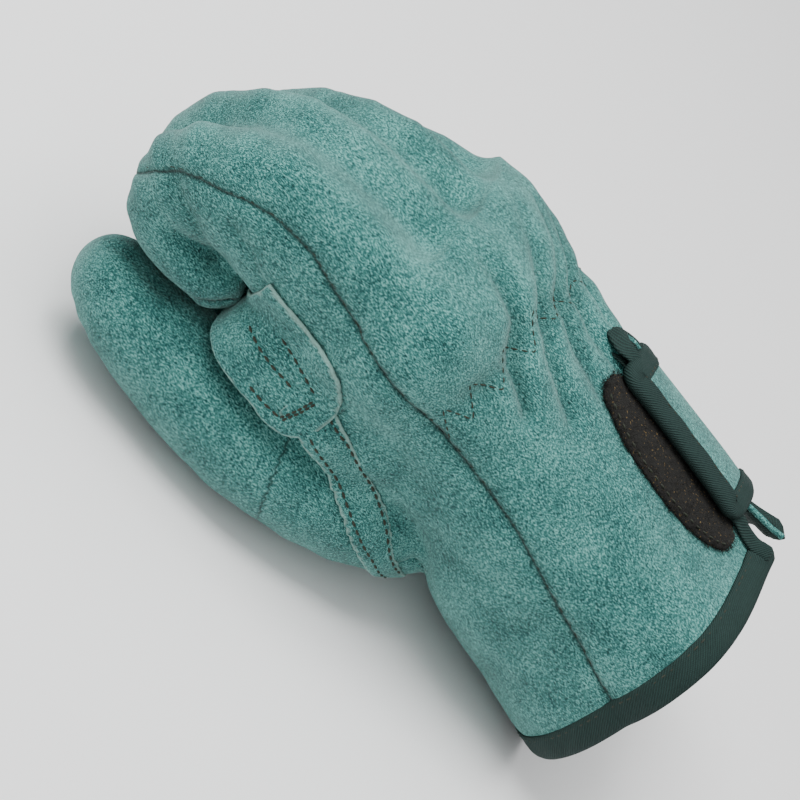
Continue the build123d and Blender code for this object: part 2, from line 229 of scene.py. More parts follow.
def surface_net(values):
    """Points and quads of the zero level of a grid of distances."""
    inside = values < 0
    shape = np.array(values.shape)
    total = np.zeros(tuple(shape - 1) + (3,), np.float32)
    hits = np.zeros(tuple(shape - 1), np.int32)
    corners = [(i, j, k) for i in (0, 1) for j in (0, 1) for k in (0, 1)]
    for a in corners:
        for axis in range(3):
            if a[axis]:
                continue
            b = list(a)
            b[axis] = 1
            sa = tuple(slice(a[n], shape[n] - 1 + a[n]) for n in range(3))
            sb = tuple(slice(b[n], shape[n] - 1 + b[n]) for n in range(3))
            va, vb = values[sa], values[sb]
            cross = (va < 0) != (vb < 0)
            t = np.where(cross, va / np.where(cross, va - vb, 1), 0)
            for n in range(3):
                total[..., n] += np.where(cross, a[n] + (t if n == axis else 0), 0)
            hits += cross
    used = hits > 0
    index = -np.ones(used.shape, np.int64)
    index[used] = np.arange(used.sum())
    points = (np.argwhere(used) + total[used] / hits[used][:, None]) * cell + low
    quads = []
    for axis in range(3):
        u, v = [n for n in range(3) if n != axis]
        first = [slice(None)] * 3
        second = [slice(None)] * 3
        first[axis] = slice(0, -1)
        second[axis] = slice(1, None)
        a, b = inside[tuple(first)], inside[tuple(second)]
        where = np.argwhere(a != b)
        where = where[(where[:, u] > 0) & (where[:, v] > 0) & (where[:, u] < shape[u] - 1)
                      & (where[:, v] < shape[v] - 1)]
        flip = a[tuple(where.T)]
        ring = []
        for du, dv in ((0, 0), (-1, 0), (-1, -1), (0, -1)):
            cell_at = where.copy()
            cell_at[:, u] += du
            cell_at[:, v] += dv
            ring.append(index[tuple(cell_at.T)])
        quad = np.stack(ring, 1)
        turn = ~flip if axis != 1 else flip
        quad[turn] = quad[turn][:, ::-1]
        quads.append(quad)
    return points, np.vstack(quads)


axes = [low[n] + cell * np.arange(counts[n]) for n in range(3)]
grid = np.stack(np.meshgrid(*axes, indexing="ij"), -1).reshape(-1, 3).astype(np.float32)
field = np.concatenate([form_distance(part)[0] for part in np.array_split(grid, 24)])
points, quads = surface_net(field.reshape(tuple(counts)))
points = points.astype(np.float64)
print("form:", len(points), "points", len(quads), "faces")


# %% Pulling the points onto the skin
def slope(distance, p, step=0.35):
    """How fast a distance grows along x, y and z."""
    out = np.empty(p.shape)
    for n in range(3):
        move = np.zeros(3)
        move[n] = step
        out[:, n] = (distance(p + move) - distance(p - move)) / (2 * step)
    return out


def whole_distance(p):
    return form_distance(p)[0]


rise = slope(whole_distance, points)
points -= rise * (whole_distance(points) / np.maximum((rise ** 2).sum(1), 0.3))[:, None]
triangles = np.vstack([quads[:, [0, 1, 2]], quads[:, [0, 2, 3]]])


def point_normals(p, faces):
    """Outward directions of a triangle mesh, averaged at its points."""
    corners = p[faces]
    face = np.cross(corners[:, 1] - corners[:, 0], corners[:, 2] - corners[:, 0])
    total = np.zeros_like(p)
    for n in range(3):
        np.add.at(total, faces[:, n], face)
    return total / (np.linalg.norm(total, axis=1, keepdims=True) + 1e-9)


skin_out = point_normals(points, triangles)
agreement = float(((skin_out * rise).sum(1) > 0).mean())
print("points on the skin:", round(float(np.abs(whole_distance(points)).mean()), 3), "mm off,",
      round(agreement, 3), "of them facing out")


# %% [markdown]
# ## Where the glove is sewn
# A flat pattern has no place on a finished form, so each seam is drawn here as a field over the skin: it
# is negative on one panel, positive on the other and zero on the seam. Later the mesh is cut where the
# fields are zero, and the same fields push the leather inwards beside the thread.

# %% Seam lines, as seen from the thumb side
radial_seam = [(120, 44), (106, 48), (90, 51.5), (63, 59), (38, 67), (19, 70.5), (1, 74), (-19, 77),
               (-43, 81.5),
               (-57, 85), (-70, 84.5), (-78, 82), (-85, 78), (-91, 75), (-96, 71), (-100, 64.5), (-103, 56),
               (-102, 49), (-96, 42.5), (-88, 38), (-78, 38), (-68, 42), (-60, 50)]
middle_seam = [(120, 46), (70, 60), (20, 70), (-20, 79), (-55, 90), (-70, 89), (-85, 78), (-95, 62),
               (-97, 45),
               (-92, 30), (-84, 21), (-74, 20), (-62, 30)]
ring_seam = [(120, 46), (70, 59), (20, 68), (-20, 79), (-50, 88), (-64, 84), (-76, 72), (-83, 55), (-84, 34),
             (-80, 17), (-72, 8), (-62, 9), (-54, 20)]
little_seam = [(120, 44), (70, 56), (20, 66), (-20, 72), (-40, 77), (-54, 72), (-65, 62), (-71, 48),
               (-71, 33),
               (-65, 22), (-55, 19), (-46, 26)]
seam_rows = [(-37.6, radial_seam), (-12.6, middle_seam), (12.4, ring_seam), (36.8, little_seam)]
lap_edge = [(-40, 43), (-23, 42.5), (-10.5, 37.8), (4, 31.3), (14, 26), (23, 20), (34, 11), (44, 2), (52, -8)]


def beside_line(a, b, line):
    """Signed distance from points (a, b) to a line; positive on its left as the line is drawn."""
    line = np.array(line, float)
    nearest = np.full(len(a), 1e6)
    side = np.zeros(len(a))
    for p, q in zip(line, line[1:]):
        run = q - p
        t = np.clip(((a - p[0]) * run[0] + (b - p[1]) * run[1]) / (run @ run), 0, 1)
        da, db = a - p[0] - t * run[0], b - p[1] - t * run[1]
        gap = np.hypot(da, db)
        cross = run[0] * db - run[1] * da
        closer = gap < nearest - 1e-6
        nearest = np.where(closer, gap, nearest)
        side = np.where(closer, cross, side)
    return nearest * np.where(side >= 0, 1, -1)


def smooth_step(t):
    t = np.clip(t, 0, 1)
    return t * t * (3 - 2 * t)


def back_field(p):
    """Positive on the back of the glove, negative on its palm side."""
    total = np.zeros(len(p))
    for n, (y, line) in enumerate(seam_rows):
        low_y = seam_rows[n - 1][0] if n else -200
        high_y = seam_rows[n + 1][0] if n < 3 else 200
        share = np.interp(p[:, 1], [low_y, y, high_y], [n == 0, 1, n == 3])
        total += share * -beside_line(p[:, 0], p[:, 2], line)
    return total


def above_lap(p):
    """Distance above the raw edge of the lapped seam."""
    return beside_line(p[:, 0], p[:, 2], lap_edge)


def thumb_field(p):
    """Positive on the thumb. On the outer side it runs under the lapped seam, inside it is the valley."""
    _, body, thumb = form_distance(p)
    valley = (body - thumb) * 0.7
    lapped = 2.5 - above_lap(p)
    outer = smooth_step((-36 - p[:, 1]) / 9) * smooth_step((p[:, 0] + 34) / 10)
    return valley * (1 - outer) + lapped * outer


slit_start, slit_angle, slit_half = 25.5, 14.0, 3.0


def round_angle(p):
    """Angle round the hand, in degrees: 0 on top of the back, negative towards the thumb."""
    zc, w, h = hand_section(p[:, 0])
    return np.degrees(np.arctan2(p[:, 1] / w, (p[:, 2] - zc) / h))


def slit_field(p):
    """Distance from the slit in the back of the cuff, negative inside it."""
    across = (round_angle(p) - slit_angle) * 0.77
    back = slit_start + slit_half - p[:, 0]
    return np.hypot(np.maximum(back, 0), across) - slit_half


def between_fingers(p):
    """Negative on the narrow strips between the fingers, positive on the palm."""
    valleys = [(-37.6 - 12.6) / 2, (-12.6 + 12.4) / 2, (12.4 + 36.8) / 2]
    gap = np.min([np.abs(p[:, 1] - y) for y in valleys], axis=0)
    return np.maximum(gap - 5.5, (p[:, 0] + 50) / 1.5)


def true_field(field, p):
    """A field scaled so that it counts millimetres over the skin."""
    rise = slope(field, p)
    along = rise - skin_out * (rise * skin_out).sum(1, keepdims=True)
    return field(p) / np.clip(np.linalg.norm(along, axis=1), 0.4, 3.0)


fields = {"back": true_field(back_field, points), "thumb": true_field(thumb_field, points),
          "slit": true_field(slit_field, points), "strips": true_field(between_fingers, points),
          "thumb_seam": -31.0 - points[:, 1]}
print({name: (round(float(f.min())), round(float(f.max()))) for name, f in fields.items()})


# %% [markdown]
# ## Folds, gathers and creases
# An elastic band is sewn inside the back of the wrist, and it gathers the leather into soft folds that
# run both ways from it. The turned seams pull the leather in beside them. All of this moves the skin
# along its own normal: a simulation would find its own folds, and these have known places.

# %% The gathers at the wrist elastic
def elastic_x(angle):
    """Where the elastic crosses the back: it lies a little nearer the cuff on the far side."""
    return 0.5 + 8.0 * smooth_step((angle + 15) / 35) - 6.0 * smooth_step((angle - 30) / 45)


def wander(p, size, seed):
    """Slow noise from -1 to 1."""
    return np.array([noise.noise(Vector(q)) for q in p / size + seed * 7.31])


angle = round_angle(points)
from_elastic = points[:, 0] - elastic_x(angle)
on_back = smooth_step((78 - np.abs(angle)) / 22) * smooth_step((fields["back"] - 1) / 9)
near_wrist = (np.abs(from_elastic) < 62) & (on_back > 0)
bend = np.zeros(len(points))
bend[near_wrist] = wander(points[near_wrist], 24.0, 1)
arc = angle * 0.78
folds = [[(-22, -16), (-5, -22), (3, -31), (15, -36)], [(-30, 18), (-17, 4), (-1, -9), (9, -18), (26, -24)],
         [(-18, 26), (2, 2), (14, -6), (30, -10)], [(-14, 35), (5, 11), (18, 4), (34, 2)],
         [(-10, 46), (8, 24), (24, 16)], [(-8, 56), (8, 40), (22, 34)], [(2, -44), (18, -47)]]
valley = np.zeros(len(points))
for line in folds:
    gap = np.abs(beside_line(points[:, 0], arc + 1.2 * bend, line))
    valley += np.exp(-(gap / 3.0) ** 1.35)
valley = np.clip(valley, 0, 1.15)
reach = np.where(from_elastic < 0, 24 + 7 * bend, 30 + 8 * bend)
fade = np.exp(-(np.abs(from_elastic) / reach) ** 2.0)
middle_back = smooth_step((angle + 62) / 20) * smooth_step((80 - angle) / 20)
gathers = on_back * middle_back * fade * (1.0 - 4.3 * valley)
pinch = -1.5 * on_back * np.exp(-(from_elastic / 4.0) ** 2)
print("gathers:", round(float(gathers.min()), 2), "to", round(float(gathers.max()), 2), "mm")


# %% Creases beside the seams, and the easy unevenness of worn leather
def crease(field, depth, width):
    return -depth * np.exp(-np.abs(field) / width)


in_slit = smooth_step((24 - fields["slit"]) / 12)
covered = smooth_step((points[:, 0] - 33) / 7) * smooth_step((88 - points[:, 0]) / 8)
at_cuff = smooth_step((points[:, 0] - 84) / 14)
flare = 4.8 * (1 - at_cuff) * (1 - 0.88 * covered) + at_cuff * (3.0 + 3.5 * (angle > slit_angle))
lips = in_slit * flare * np.exp(-np.clip(fields["slit"], 0, 40) / (4.5 + 3 * at_cuff))
on_side = smooth_step((-38 - points[:, 1]) / 5)
thumb_crease = crease(fields["thumb"], 1.4, 2.2) * (1 - on_side * smooth_step((points[:, 0] + 66) / 10))
wrinkles = np.zeros(len(points))
for line, depth, width in (([(-94, 69), (-83, 65), (-72, 57), (-66, 49)], 1.7, 3.2),
                           ([(-76, 73.5), (-69, 72.5), (-60, 67)], 1.1, 2.8)):
    wrinkles += on_side * crease(beside_line(points[:, 0], points[:, 2], line), depth, width)
on_thumb_top = smooth_step((points[:, 2] - 27) / 5) * smooth_step((42 - points[:, 2]) / 3)
wrinkles += on_thumb_top * crease(beside_line(points[:, 0], points[:, 1], [(-92, -41), (-74, -43)]), 0.9, 1.8)
move = (gathers + pinch + crease(fields["back"], 1.5, 1.7) + thumb_crease + lips
        + crease(np.abs(fields["strips"]) + np.clip(fields["back"], 0, 50), 0.9, 1.4)
        + wrinkles + 0.9 * wander(points, 22.0, 2) + 0.30 * wander(points, 7.0, 3))
skin = points + skin_out * move[:, None]
skin_normals = point_normals(skin, triangles)
print("skin moved by", round(float(move.min()), 2), "to", round(float(move.max()), 2), "mm")


# %% [markdown]
# ## Cutting the skin into the panels
# Each triangle that a field crosses is split along the straight line between the two crossed edges. A
# bisect only cuts along planes, and a boolean would lose the shared edge. Here both sides of a seam keep
# exactly the same points, so the sewn pieces meet.

# %% Cutting along a field
def cut_along(data, faces, column):
    """Split the triangles where one column of the point data changes sign."""
    value = data[:, column]
    edges = np.sort(np.vstack([faces[:, [0, 1]], faces[:, [1, 2]], faces[:, [2, 0]]]), axis=1)
    edges = np.unique(edges, axis=0)
    a, b = value[edges[:, 0]], value[edges[:, 1]]
    crossed = edges[a * b < 0]
    a, b = value[crossed[:, 0]], value[crossed[:, 1]]
    t = a / (a - b)
    for end, close in ((0, t < 0.16), (1, t > 0.84)):
        pick = crossed[close, end]
        target = (data[crossed[close, 0]]
                  + t[close, None] * (data[crossed[close, 1]] - data[crossed[close, 0]]))
        data[pick] = target
        data[pick, column] = 0.0
    value = data[:, column]
    a, b = value[crossed[:, 0]], value[crossed[:, 1]]
    crossed = crossed[a * b < 0]
    a, b = value[crossed[:, 0]], value[crossed[:, 1]]
    t = (a / (a - b))[:, None]
    fresh = data[crossed[:, 0]] + t * (data[crossed[:, 1]] - data[crossed[:, 0]])
    fresh[:, column] = 0.0
    number = {(int(p), int(q)): len(data) + n for n, (p, q) in enumerate(crossed)}
    data = np.vstack([data, fresh])
    signs = np.sign(value[faces])
    mixed = (signs.max(1) > 0) & (signs.min(1) < 0)
    out = [faces[~mixed]]
    extra = []
    for face in faces[mixed]:
        ring = []
        for n in range(3):
            p, q = int(face[n]), int(face[(n + 1) % 3])
            ring.append((p, value[p]))
            new = number.get((min(p, q), max(p, q)))
            if new is not None:
                ring.append((new, 0.0))
        for keep in (1, -1):
            part = [point for point, v in ring if v * keep >= 0]
            extra += [(part[0], part[n], part[n + 1]) for n in range(1, len(part) - 1)]
    out.append(np.array(extra, int).reshape(-1, 3))
    return data, np.vstack(out)


def rim_x(p):
    """Where the glove ends: the back reaches a little further than the palm."""
    return cuff_end + cuff_tilt * np.clip(np.cos(np.radians(round_angle(p))), 0, 1) ** 2


names = list(fields)
data = np.hstack([skin, skin_normals, np.stack([fields[n] for n in names], 1),
                  (rim_x(points) - points[:, 0])[:, None], move[:, None]])
column = {name: 6 + n for n, name in enumerate(names)}
column["cuff"] = 6 + len(names)
column["move"] = 7 + len(names)
faces = triangles
for name in ("cuff", "slit", "back", "thumb", "strips", "thumb_seam"):
    data, faces = cut_along(data, faces, column[name])


def middle_of(name):
    return data[:, column[name]][faces].mean(1)


centre = data[:, :3][faces].mean(1)
kept = (middle_of("cuff") > 0) & (middle_of("slit") > 0)
is_thumb = middle_of("thumb") > 0
is_back = (middle_of("back") > 0) & ~is_thumb
is_strip = (middle_of("strips") < 0) & ~is_back & ~is_thumb
is_web = ((centre[:, 2] < 62) & (np.abs(centre[:, 0] + 39) < 20) & (centre[:, 1] < -25)
          & ~is_back & ~is_thumb & ~is_strip)
outer_thumb = middle_of("thumb_seam") > 0
strip_number = np.digitize(centre[:, 1], [-12.6, 12.4])
panels = {"back_leather": is_back, "web_leather": is_web,
          "palm_leather": ~is_back & ~is_thumb & ~is_strip & ~is_web,
          "thumb_outer_leather": is_thumb & outer_thumb, "thumb_inner_leather": is_thumb & ~outer_thumb,
          "strip_index_middle": is_strip & (strip_number == 0),
          "strip_middle_ring": is_strip & (strip_number == 1),
          "strip_ring_little": is_strip & (strip_number == 2)}
panels = {name: mask & kept for name, mask in panels.items()}
print("panels:", {name: int(mask.sum()) for name, mask in panels.items()})


# %% A closed leather piece from part of the skin
def close_piece(name, outer, inner, faces, shade_and_seam_line=None, raw=1.0):
    """A closed mesh between two layers of points; its rim is marked as a raw edge where raw is 1."""
    used, where = np.unique(faces, return_inverse=True)
    faces = where.reshape(-1, 3)
    outer, inner = outer[used], inner[used]
    count = len(used)
    edges = np.vstack([faces[:, [0, 1]], faces[:, [1, 2]], faces[:, [2, 0]]])
    keys = edges[:, 0].astype(np.int64) * count + edges[:, 1]
    back_keys = edges[:, 1].astype(np.int64) * count + edges[:, 0]
    rim = edges[~np.isin(keys, back_keys)]
    sides = np.vstack([np.stack([rim[:, 1], rim[:, 0], rim[:, 0] + count], 1),
                       np.stack([rim[:, 1], rim[:, 0] + count, rim[:, 1] + count], 1)])
    every = np.vstack([faces, faces[:, ::-1] + count, sides])
    mesh = bpy.data.meshes.new(name)
    mesh.from_pydata((np.vstack([outer, inner]) + origin).tolist(), [], every.tolist())
    mesh.polygons.foreach_set("use_smooth", [True] * len(mesh.polygons))
    edge = np.zeros(2 * count)
    edge[np.unique(rim)] = raw
    edge[count:] = raw
    mesh.attributes.new("edge", "FLOAT", "POINT").data.foreach_set("value", edge)
    # Painted shade amounts for the outer layer, passed to the material as a point attribute.
    dark_shade_and_seam = np.zeros(2 * count)
    if shade_and_seam_line is not None:
        dark_shade_and_seam[:count] = shade_and_seam_line[used]
    mesh.attributes.new("shade_and_seam_line", "FLOAT", "POINT").data.foreach_set("value", dark_shade_and_seam)
    mesh.transform(Matrix.Scale(MM, 4))
    mesh.validate()
    piece = bpy.data.objects.new(name, mesh)
    bpy.context.collection.objects.link(piece)
    corners = outer[faces]
    area = np.linalg.norm(np.cross(corners[:, 1] - corners[:, 0], corners[:, 2] - corners[:, 0]),
                          axis=1).sum() / 2
    return piece, area * MM * MM


leather = 1.8
out = data[:, 3:6] / np.linalg.norm(data[:, 3:6], axis=1, keepdims=True)
seam_gap = np.abs(data[:, column["back"]])
# Painted shade: darker where folds and creases push the skin in, plus a narrow dark line on the back seam.
shade_and_seam_line = np.clip(0.45 * np.clip(-data[:, column["move"]] / 2.6, 0, 1) + 0.9
                 * np.exp(-(seam_gap / 0.45) ** 2), 0, 1)
made = {}
for name, mask in panels.items():
    made[name] = close_piece(name, data[:, :3], data[:, :3] - leather * out, faces[mask], shade_and_seam_line, raw=0.0)
    print(name, "area", round(made[name][1] * 1e4), "square cm")


# %% [markdown]
# ## Fixing the panels in place
# The knuckles, the thumb and the closing strap move. Leather that crosses a knuckle bends over a stretch of
# its length, and the web between thumb and index is held by both sides. Here the panels over the knuckles,
# the web and the thumb only have their placement baked into their points; they follow no moving body.


def over_knuckles(piece):
    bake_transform(piece)


def over_web(piece):
    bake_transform(piece)


def over_thumb(piece):
    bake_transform(piece)


blanks = {"back_leather": (0.18, 0.27), "palm_leather": (0.19, 0.27), "thumb_outer_leather": (0.075, 0.15),
          "thumb_inner_leather": (0.06, 0.15), "web_leather": (0.035,
                                                               0.045), "strip_index_middle": (0.03, 0.09),
          "strip_middle_ring": (0.03, 0.09), "strip_ring_little": (0.03, 0.08)}
stands_for = {"back_leather": ["back_panel", "finger_backs"], "palm_leather": ["palm_panel", "finger_fronts"],
              "thumb_outer_leather": ["thumb_outer", "thumb_heel"], "thumb_inner_leather": ["thumb_inner"],
              "strip_index_middle": ["fourchette_index_middle"],
              "strip_middle_ring": ["fourchette_middle_ring"],
              "strip_ring_little": ["fourchette_ring_little"], "web_leather": []}
for name, (piece, area) in made.items():
    flat = blanks[name]
    print(name, "share of its blank", round(area / (flat[0] * flat[1]), 2))
    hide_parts(*stands_for[name])

for name in ("back_leather", "palm_leather", "strip_index_middle", "strip_middle_ring", "strip_ring_little"):
    over_knuckles(made[name][0])
over_web(made["web_leather"][0])
for name in ("thumb_outer_leather", "thumb_inner_leather"):
    over_thumb(made[name][0])


# %% [markdown]
# ## Suede
# The flesh side of a split hide is a felt of short fibres. Brushed one way they look light, brushed the
# other way dark, so the colour is a cloud of tones with fine speckles in it. One node group makes the
# nap for every leather piece, and the material adds pale raw edges, painted shade in the pushed-in folds
# and creases, and a narrow dark line along the bottom of the back seam.

# %% Helpers for materials
def new_group(name, inputs, outputs):
    """A shader node group with named inputs (name, default) and outputs (name, kind)."""
    tree = bpy.data.node_groups.new(name, "ShaderNodeTree")
    for label, default in inputs:
        kind = "NodeSocketColor" if isinstance(default, tuple) else "NodeSocketFloat"
        tree.interface.new_socket(name=label, in_out="INPUT", socket_type=kind).default_value = default
    for label, kind in outputs:
        tree.interface.new_socket(name=label, in_out="OUTPUT", socket_type="NodeSocket" + kind)
    return tree, tree.nodes.new("NodeGroupInput"), tree.nodes.new("NodeGroupOutput")


def add_node(tree, kind, settings=None, **inputs):
    """A node with its settings and inputs; an input may be a value or another node's output."""
    item = tree.nodes.new("ShaderNode" + kind)
    for label, value in (settings or {}).items():
        setattr(item, label, value)
    for label, value in inputs.items():
        socket = item.inputs[int(label[1:]) if label[0] == "i" and label[1:].isdigit()
                             else label.replace("_", " ")]
        if isinstance(value, bpy.types.NodeSocket):
            tree.links.new(value, socket)
        else:
            socket.default_value = value
    return item


def maths(tree, operation, a, b=0.0, clamp=False):
    return add_node(tree, "Math", {"operation": operation, "use_clamp": clamp}, i0=a, i1=b).outputs[0]


def mix_colour(tree, share, a, b, way="MIX"):
    item = add_node(tree, "Mix", {"data_type": "RGBA", "blend_type": way}, i0=share, i6=a, i7=b)
    return item.outputs[2]


def noise_at(tree, place, scale, detail=2.0, roughness=0.5):
    item = add_node(tree, "TexNoise", None, Vector=place, Scale=scale, Detail=detail, Roughness=roughness)
    return item.outputs["Fac"]


def srgb(r, g, b):
    """A colour given the way paint charts give it, from 0 to 255."""
    return tuple((c / 255) ** 2.2 for c in (r, g, b)) + (1.0,)


# %% The nap group
nap, nap_in, nap_out = new_group(
    "fibre nap", [("Fibre size mm", 0.5), ("Cloud size mm", 11.0), ("Contrast", 1.0)],
    [("Tone", "Float"), ("Height", "Float")])
where = add_node(nap, "TexCoord").outputs["Object"]
fine_scale = maths(nap, "DIVIDE", 1000.0, nap_in.outputs["Fibre size mm"])
cloud_scale = maths(nap, "DIVIDE", 1000.0, nap_in.outputs["Cloud size mm"])
lying = [add_node(nap, "Mapping", None, Vector=where, Rotation=turn, Scale=(0.32, 1.0, 1.0)).outputs[0]
         for turn in ((0.3, 0.5, 0.2), (-0.4, -0.3, 0.9))]
fibres = maths(nap, "MULTIPLY", maths(nap, "ADD", noise_at(nap, lying[0], fine_scale, 2.0, 0.6),
                                      noise_at(nap, lying[1], fine_scale, 2.0, 0.6)), 0.5)
tufts = noise_at(nap, where, maths(nap, "MULTIPLY", fine_scale, 0.28), 3.0, 0.6)
clouds = noise_at(nap, where, cloud_scale, 3.0, 0.55)
tone = maths(nap, "ADD", maths(nap, "MULTIPLY", maths(nap, "SUBTRACT", fibres, 0.5), 3.3),
             maths(nap, "MULTIPLY", maths(nap, "SUBTRACT", tufts, 0.5), 0.55))
tone = maths(nap, "ADD", tone, maths(nap, "MULTIPLY", maths(nap, "SUBTRACT", clouds, 0.5), 0.5))
tone = maths(nap, "ADD", maths(nap, "MULTIPLY", tone, nap_in.outputs["Contrast"]), 0.5, clamp=True)
nap.links.new(tone, nap_out.inputs["Tone"])
height = maths(nap, "ADD", maths(nap, "MULTIPLY", fibres, 0.6), maths(nap, "MULTIPLY", tufts, 0.6))
nap.links.new(height, nap_out.inputs["Height"])


# %% The suede material
def new_material(name):
    material = bpy.data.materials.new(name)
    material.use_nodes = True
    tree = material.node_tree
    return material, tree, tree.nodes["Principled BSDF"]


def use_group(tree, group, **values):
    item = add_node(tree, "Group", {"node_tree": group})
    for label, value in values.items():
        item.inputs[label.replace("_", " ")].default_value = value
    return item


def suede_material(name, dark, middle, light, pale, dark_shade_and_seam):
    material, tree, shader = new_material(name)
    made_nap = use_group(tree, nap, Fibre_size_mm=0.26, Cloud_size_mm=13.0, Contrast=1.15)
    ramp = add_node(tree, "ValToRGB", None, Fac=made_nap.outputs["Tone"])
    ramp.color_ramp.elements[0].color = dark
    ramp.color_ramp.elements[0].position = 0.05
    ramp.color_ramp.elements[1].color = light
    ramp.color_ramp.elements[1].position = 0.95
    ramp.color_ramp.elements.new(0.5).color = middle
    edge = add_node(tree, "Attribute", {"attribute_name": "edge"}).outputs["Fac"]
    shade_and_seam_mask = add_node(tree, "Attribute", {"attribute_name": "shade_and_seam_line"}).outputs["Fac"]
    colour = mix_colour(tree, maths(tree, "MULTIPLY", edge, 0.6), ramp.outputs["Color"], pale)
    # Painted shade: the colour darkens in the pushed-in folds and creases and along the back seam line.
    shaded = mix_colour(tree, maths(tree, "MULTIPLY", shade_and_seam_mask, 0.85), colour, dark_shade_and_seam)
    tree.links.new(shaded, shader.inputs["Base Color"])
    bump = add_node(tree, "Bump", None, Height=made_nap.outputs["Height"], Strength=0.85, Distance=0.0006)
    tree.links.new(bump.outputs["Normal"], shader.inputs["Normal"])
    shader.inputs["Roughness"].default_value = 0.93
    shader.inputs["Specular IOR Level"].default_value = 0.18
    shader.inputs["Sheen Weight"].default_value = 0.22
    shader.inputs["Sheen Roughness"].default_value = 0.55
    shader.inputs["Sheen Tint"].default_value = (0.75, 0.95, 0.9, 1)
    return material


# The last colour is the painted shade colour of the folds, creases and back seam line.
suede = suede_material("teal suede", srgb(12, 48, 49), srgb(50, 104, 100), srgb(112, 174, 166),
                       srgb(140, 172, 162), srgb(8, 22, 22))
for piece, _ in made.values():
    piece.data.materials.append(suede)
print("materials:", [m.name for m in bpy.data.materials])


# %% [markdown]
# ## Finding places on the glove
# Patches, tapes and stitches lie on the skin, so they need to know where it is. A ray is cast at the
# finished skin from outside: straight across for places given as seen from the thumb side, or towards
# the middle of the hand for places given by their angle round it.

# %% Rays onto the skin
skin_tree = BVHTree.FromPolygons(skin.tolist(), triangles.tolist())


def cast(tree, start, towards):
    """Where a ray meets a surface, and the surface's outward direction there."""
    hit, normal, _, _ = tree.ray_cast(Vector(start), Vector(towards).normalized())
    if hit is None:
        return None
    return np.array(hit), np.array(normal if normal.dot(Vector(towards)) < 0 else -normal)


def from_thumb_side(x, z, tree=skin_tree):
    return cast(tree, (x, -95, z), (0, 1, 0))


def round_hand(x, angle, tree=skin_tree):
    """The skin at x and at an angle round the hand."""
    zc, w, h = (float(v) for v in hand_section(x))
    a = math.radians(angle)
    outward = Vector((0, w * math.sin(a), h * math.cos(a)))
    return cast(tree, Vector((x, 0, zc)) + outward * 1.6, -outward)


def along_path(corners, step=1.0):
    """Evenly spaced points along straight runs between corners, given in any two measures."""
    corners = np.array(corners, float)
    lengths = np.linalg.norm(np.diff(corners, axis=0), axis=1)
    total = np.concatenate([[0], np.cumsum(lengths)])
    places = np.linspace(0, total[-1], max(2, int(round(total[-1] / step)) + 1))
    return [tuple(np.interp(places[n], total, corners[:, k]) for k in range(corners.shape[1]))
            for n in range(len(places))]


def relaxed(values, rounds):
    """A row of points or directions, evened out along its length with its ends kept."""
    values = np.array(values, float)
    for _ in range(rounds):
        values[1:-1] = 0.25 * values[:-2] + 0.5 * values[1:-1] + 0.25 * values[2:]
    return values


print("skin under the middle of the back:", round_hand(20, 0)[0].round(1))


# %% [markdown]
# ## Stitches
# A lockstitch shows on top as a row of short dashes, each one arching a little out of the leather and
# diving back in through its needle hole. A texture could draw them, but real dashes catch light and
# shadow, so each stitch is a small capsule bent over the surface.

# %% One row of stitches
def stitch_mesh(rows, length=2.3, pitch=3.0, radius=0.42, lift=0.25):
    """Points and faces of the stitches along rows; a row is a list of (place, outward direction)."""
    points_out, faces_out = [], []
    sides, rings = 7, 7
    for row in rows:
        row = [r for r in row if r is not None]
        spots = relaxed([r[0] for r in row], 3)
        outs = relaxed([r[1] for r in row], 6)
        run = np.concatenate([[0], np.cumsum(np.linalg.norm(np.diff(spots, axis=0), axis=1))])
        begin = 0.2
        while begin + length < run[-1] + 0.1:
            middle = []
            for n in range(rings):
                t = n / (rings - 1)
                s = begin + t * length
                p = np.array([np.interp(s, run, spots[:, k]) for k in range(3)])
                o = np.array([np.interp(s, run, outs[:, k]) for k in range(3)])
                o /= np.linalg.norm(o)
                middle.append((p + o * (lift * math.sin(math.pi * t) - 0.25 * (1 - math.sin(math.pi * t))), o,
                               radius * (0.35 + 0.65 * math.sin(math.pi * min(max(t, 0.04), 0.96)) ** 0.6)))
            base = len(points_out)
            for n, (p, o, r) in enumerate(middle):
                forward = middle[min(n + 1, rings - 1)][0] - middle[max(n - 1, 0)][0]
                forward /= np.linalg.norm(forward)
                across = np.cross(forward, o)
                for k in range(sides):
                    a = 2 * math.pi * k / sides
                    points_out.append(p + r * (math.cos(a) * across + math.sin(a) * o))
            for n in range(rings - 1):
                for k in range(sides):
                    nxt = (k + 1) % sides
                    faces_out.append((base + n * sides + k, base + n * sides + nxt,
                                      base + (n + 1) * sides + nxt, base + (n + 1) * sides + k))
            faces_out.append(tuple(base + k for k in reversed(range(sides))))
            faces_out.append(tuple(base + (rings - 1) * sides + k for k in range(sides)))
            begin += pitch
    return np.array(points_out), faces_out


def new_piece(name, points_mm, faces_list, material):
    mesh = bpy.data.meshes.new(name)
    mesh.from_pydata(((np.array(points_mm) + origin) * MM).tolist(), [], faces_list)
    mesh.polygons.foreach_set("use_smooth", [True] * len(mesh.polygons))
    mesh.materials.append(material)
    piece = bpy.data.objects.new(name, mesh)
    bpy.context.collection.objects.link(piece)
    return piece


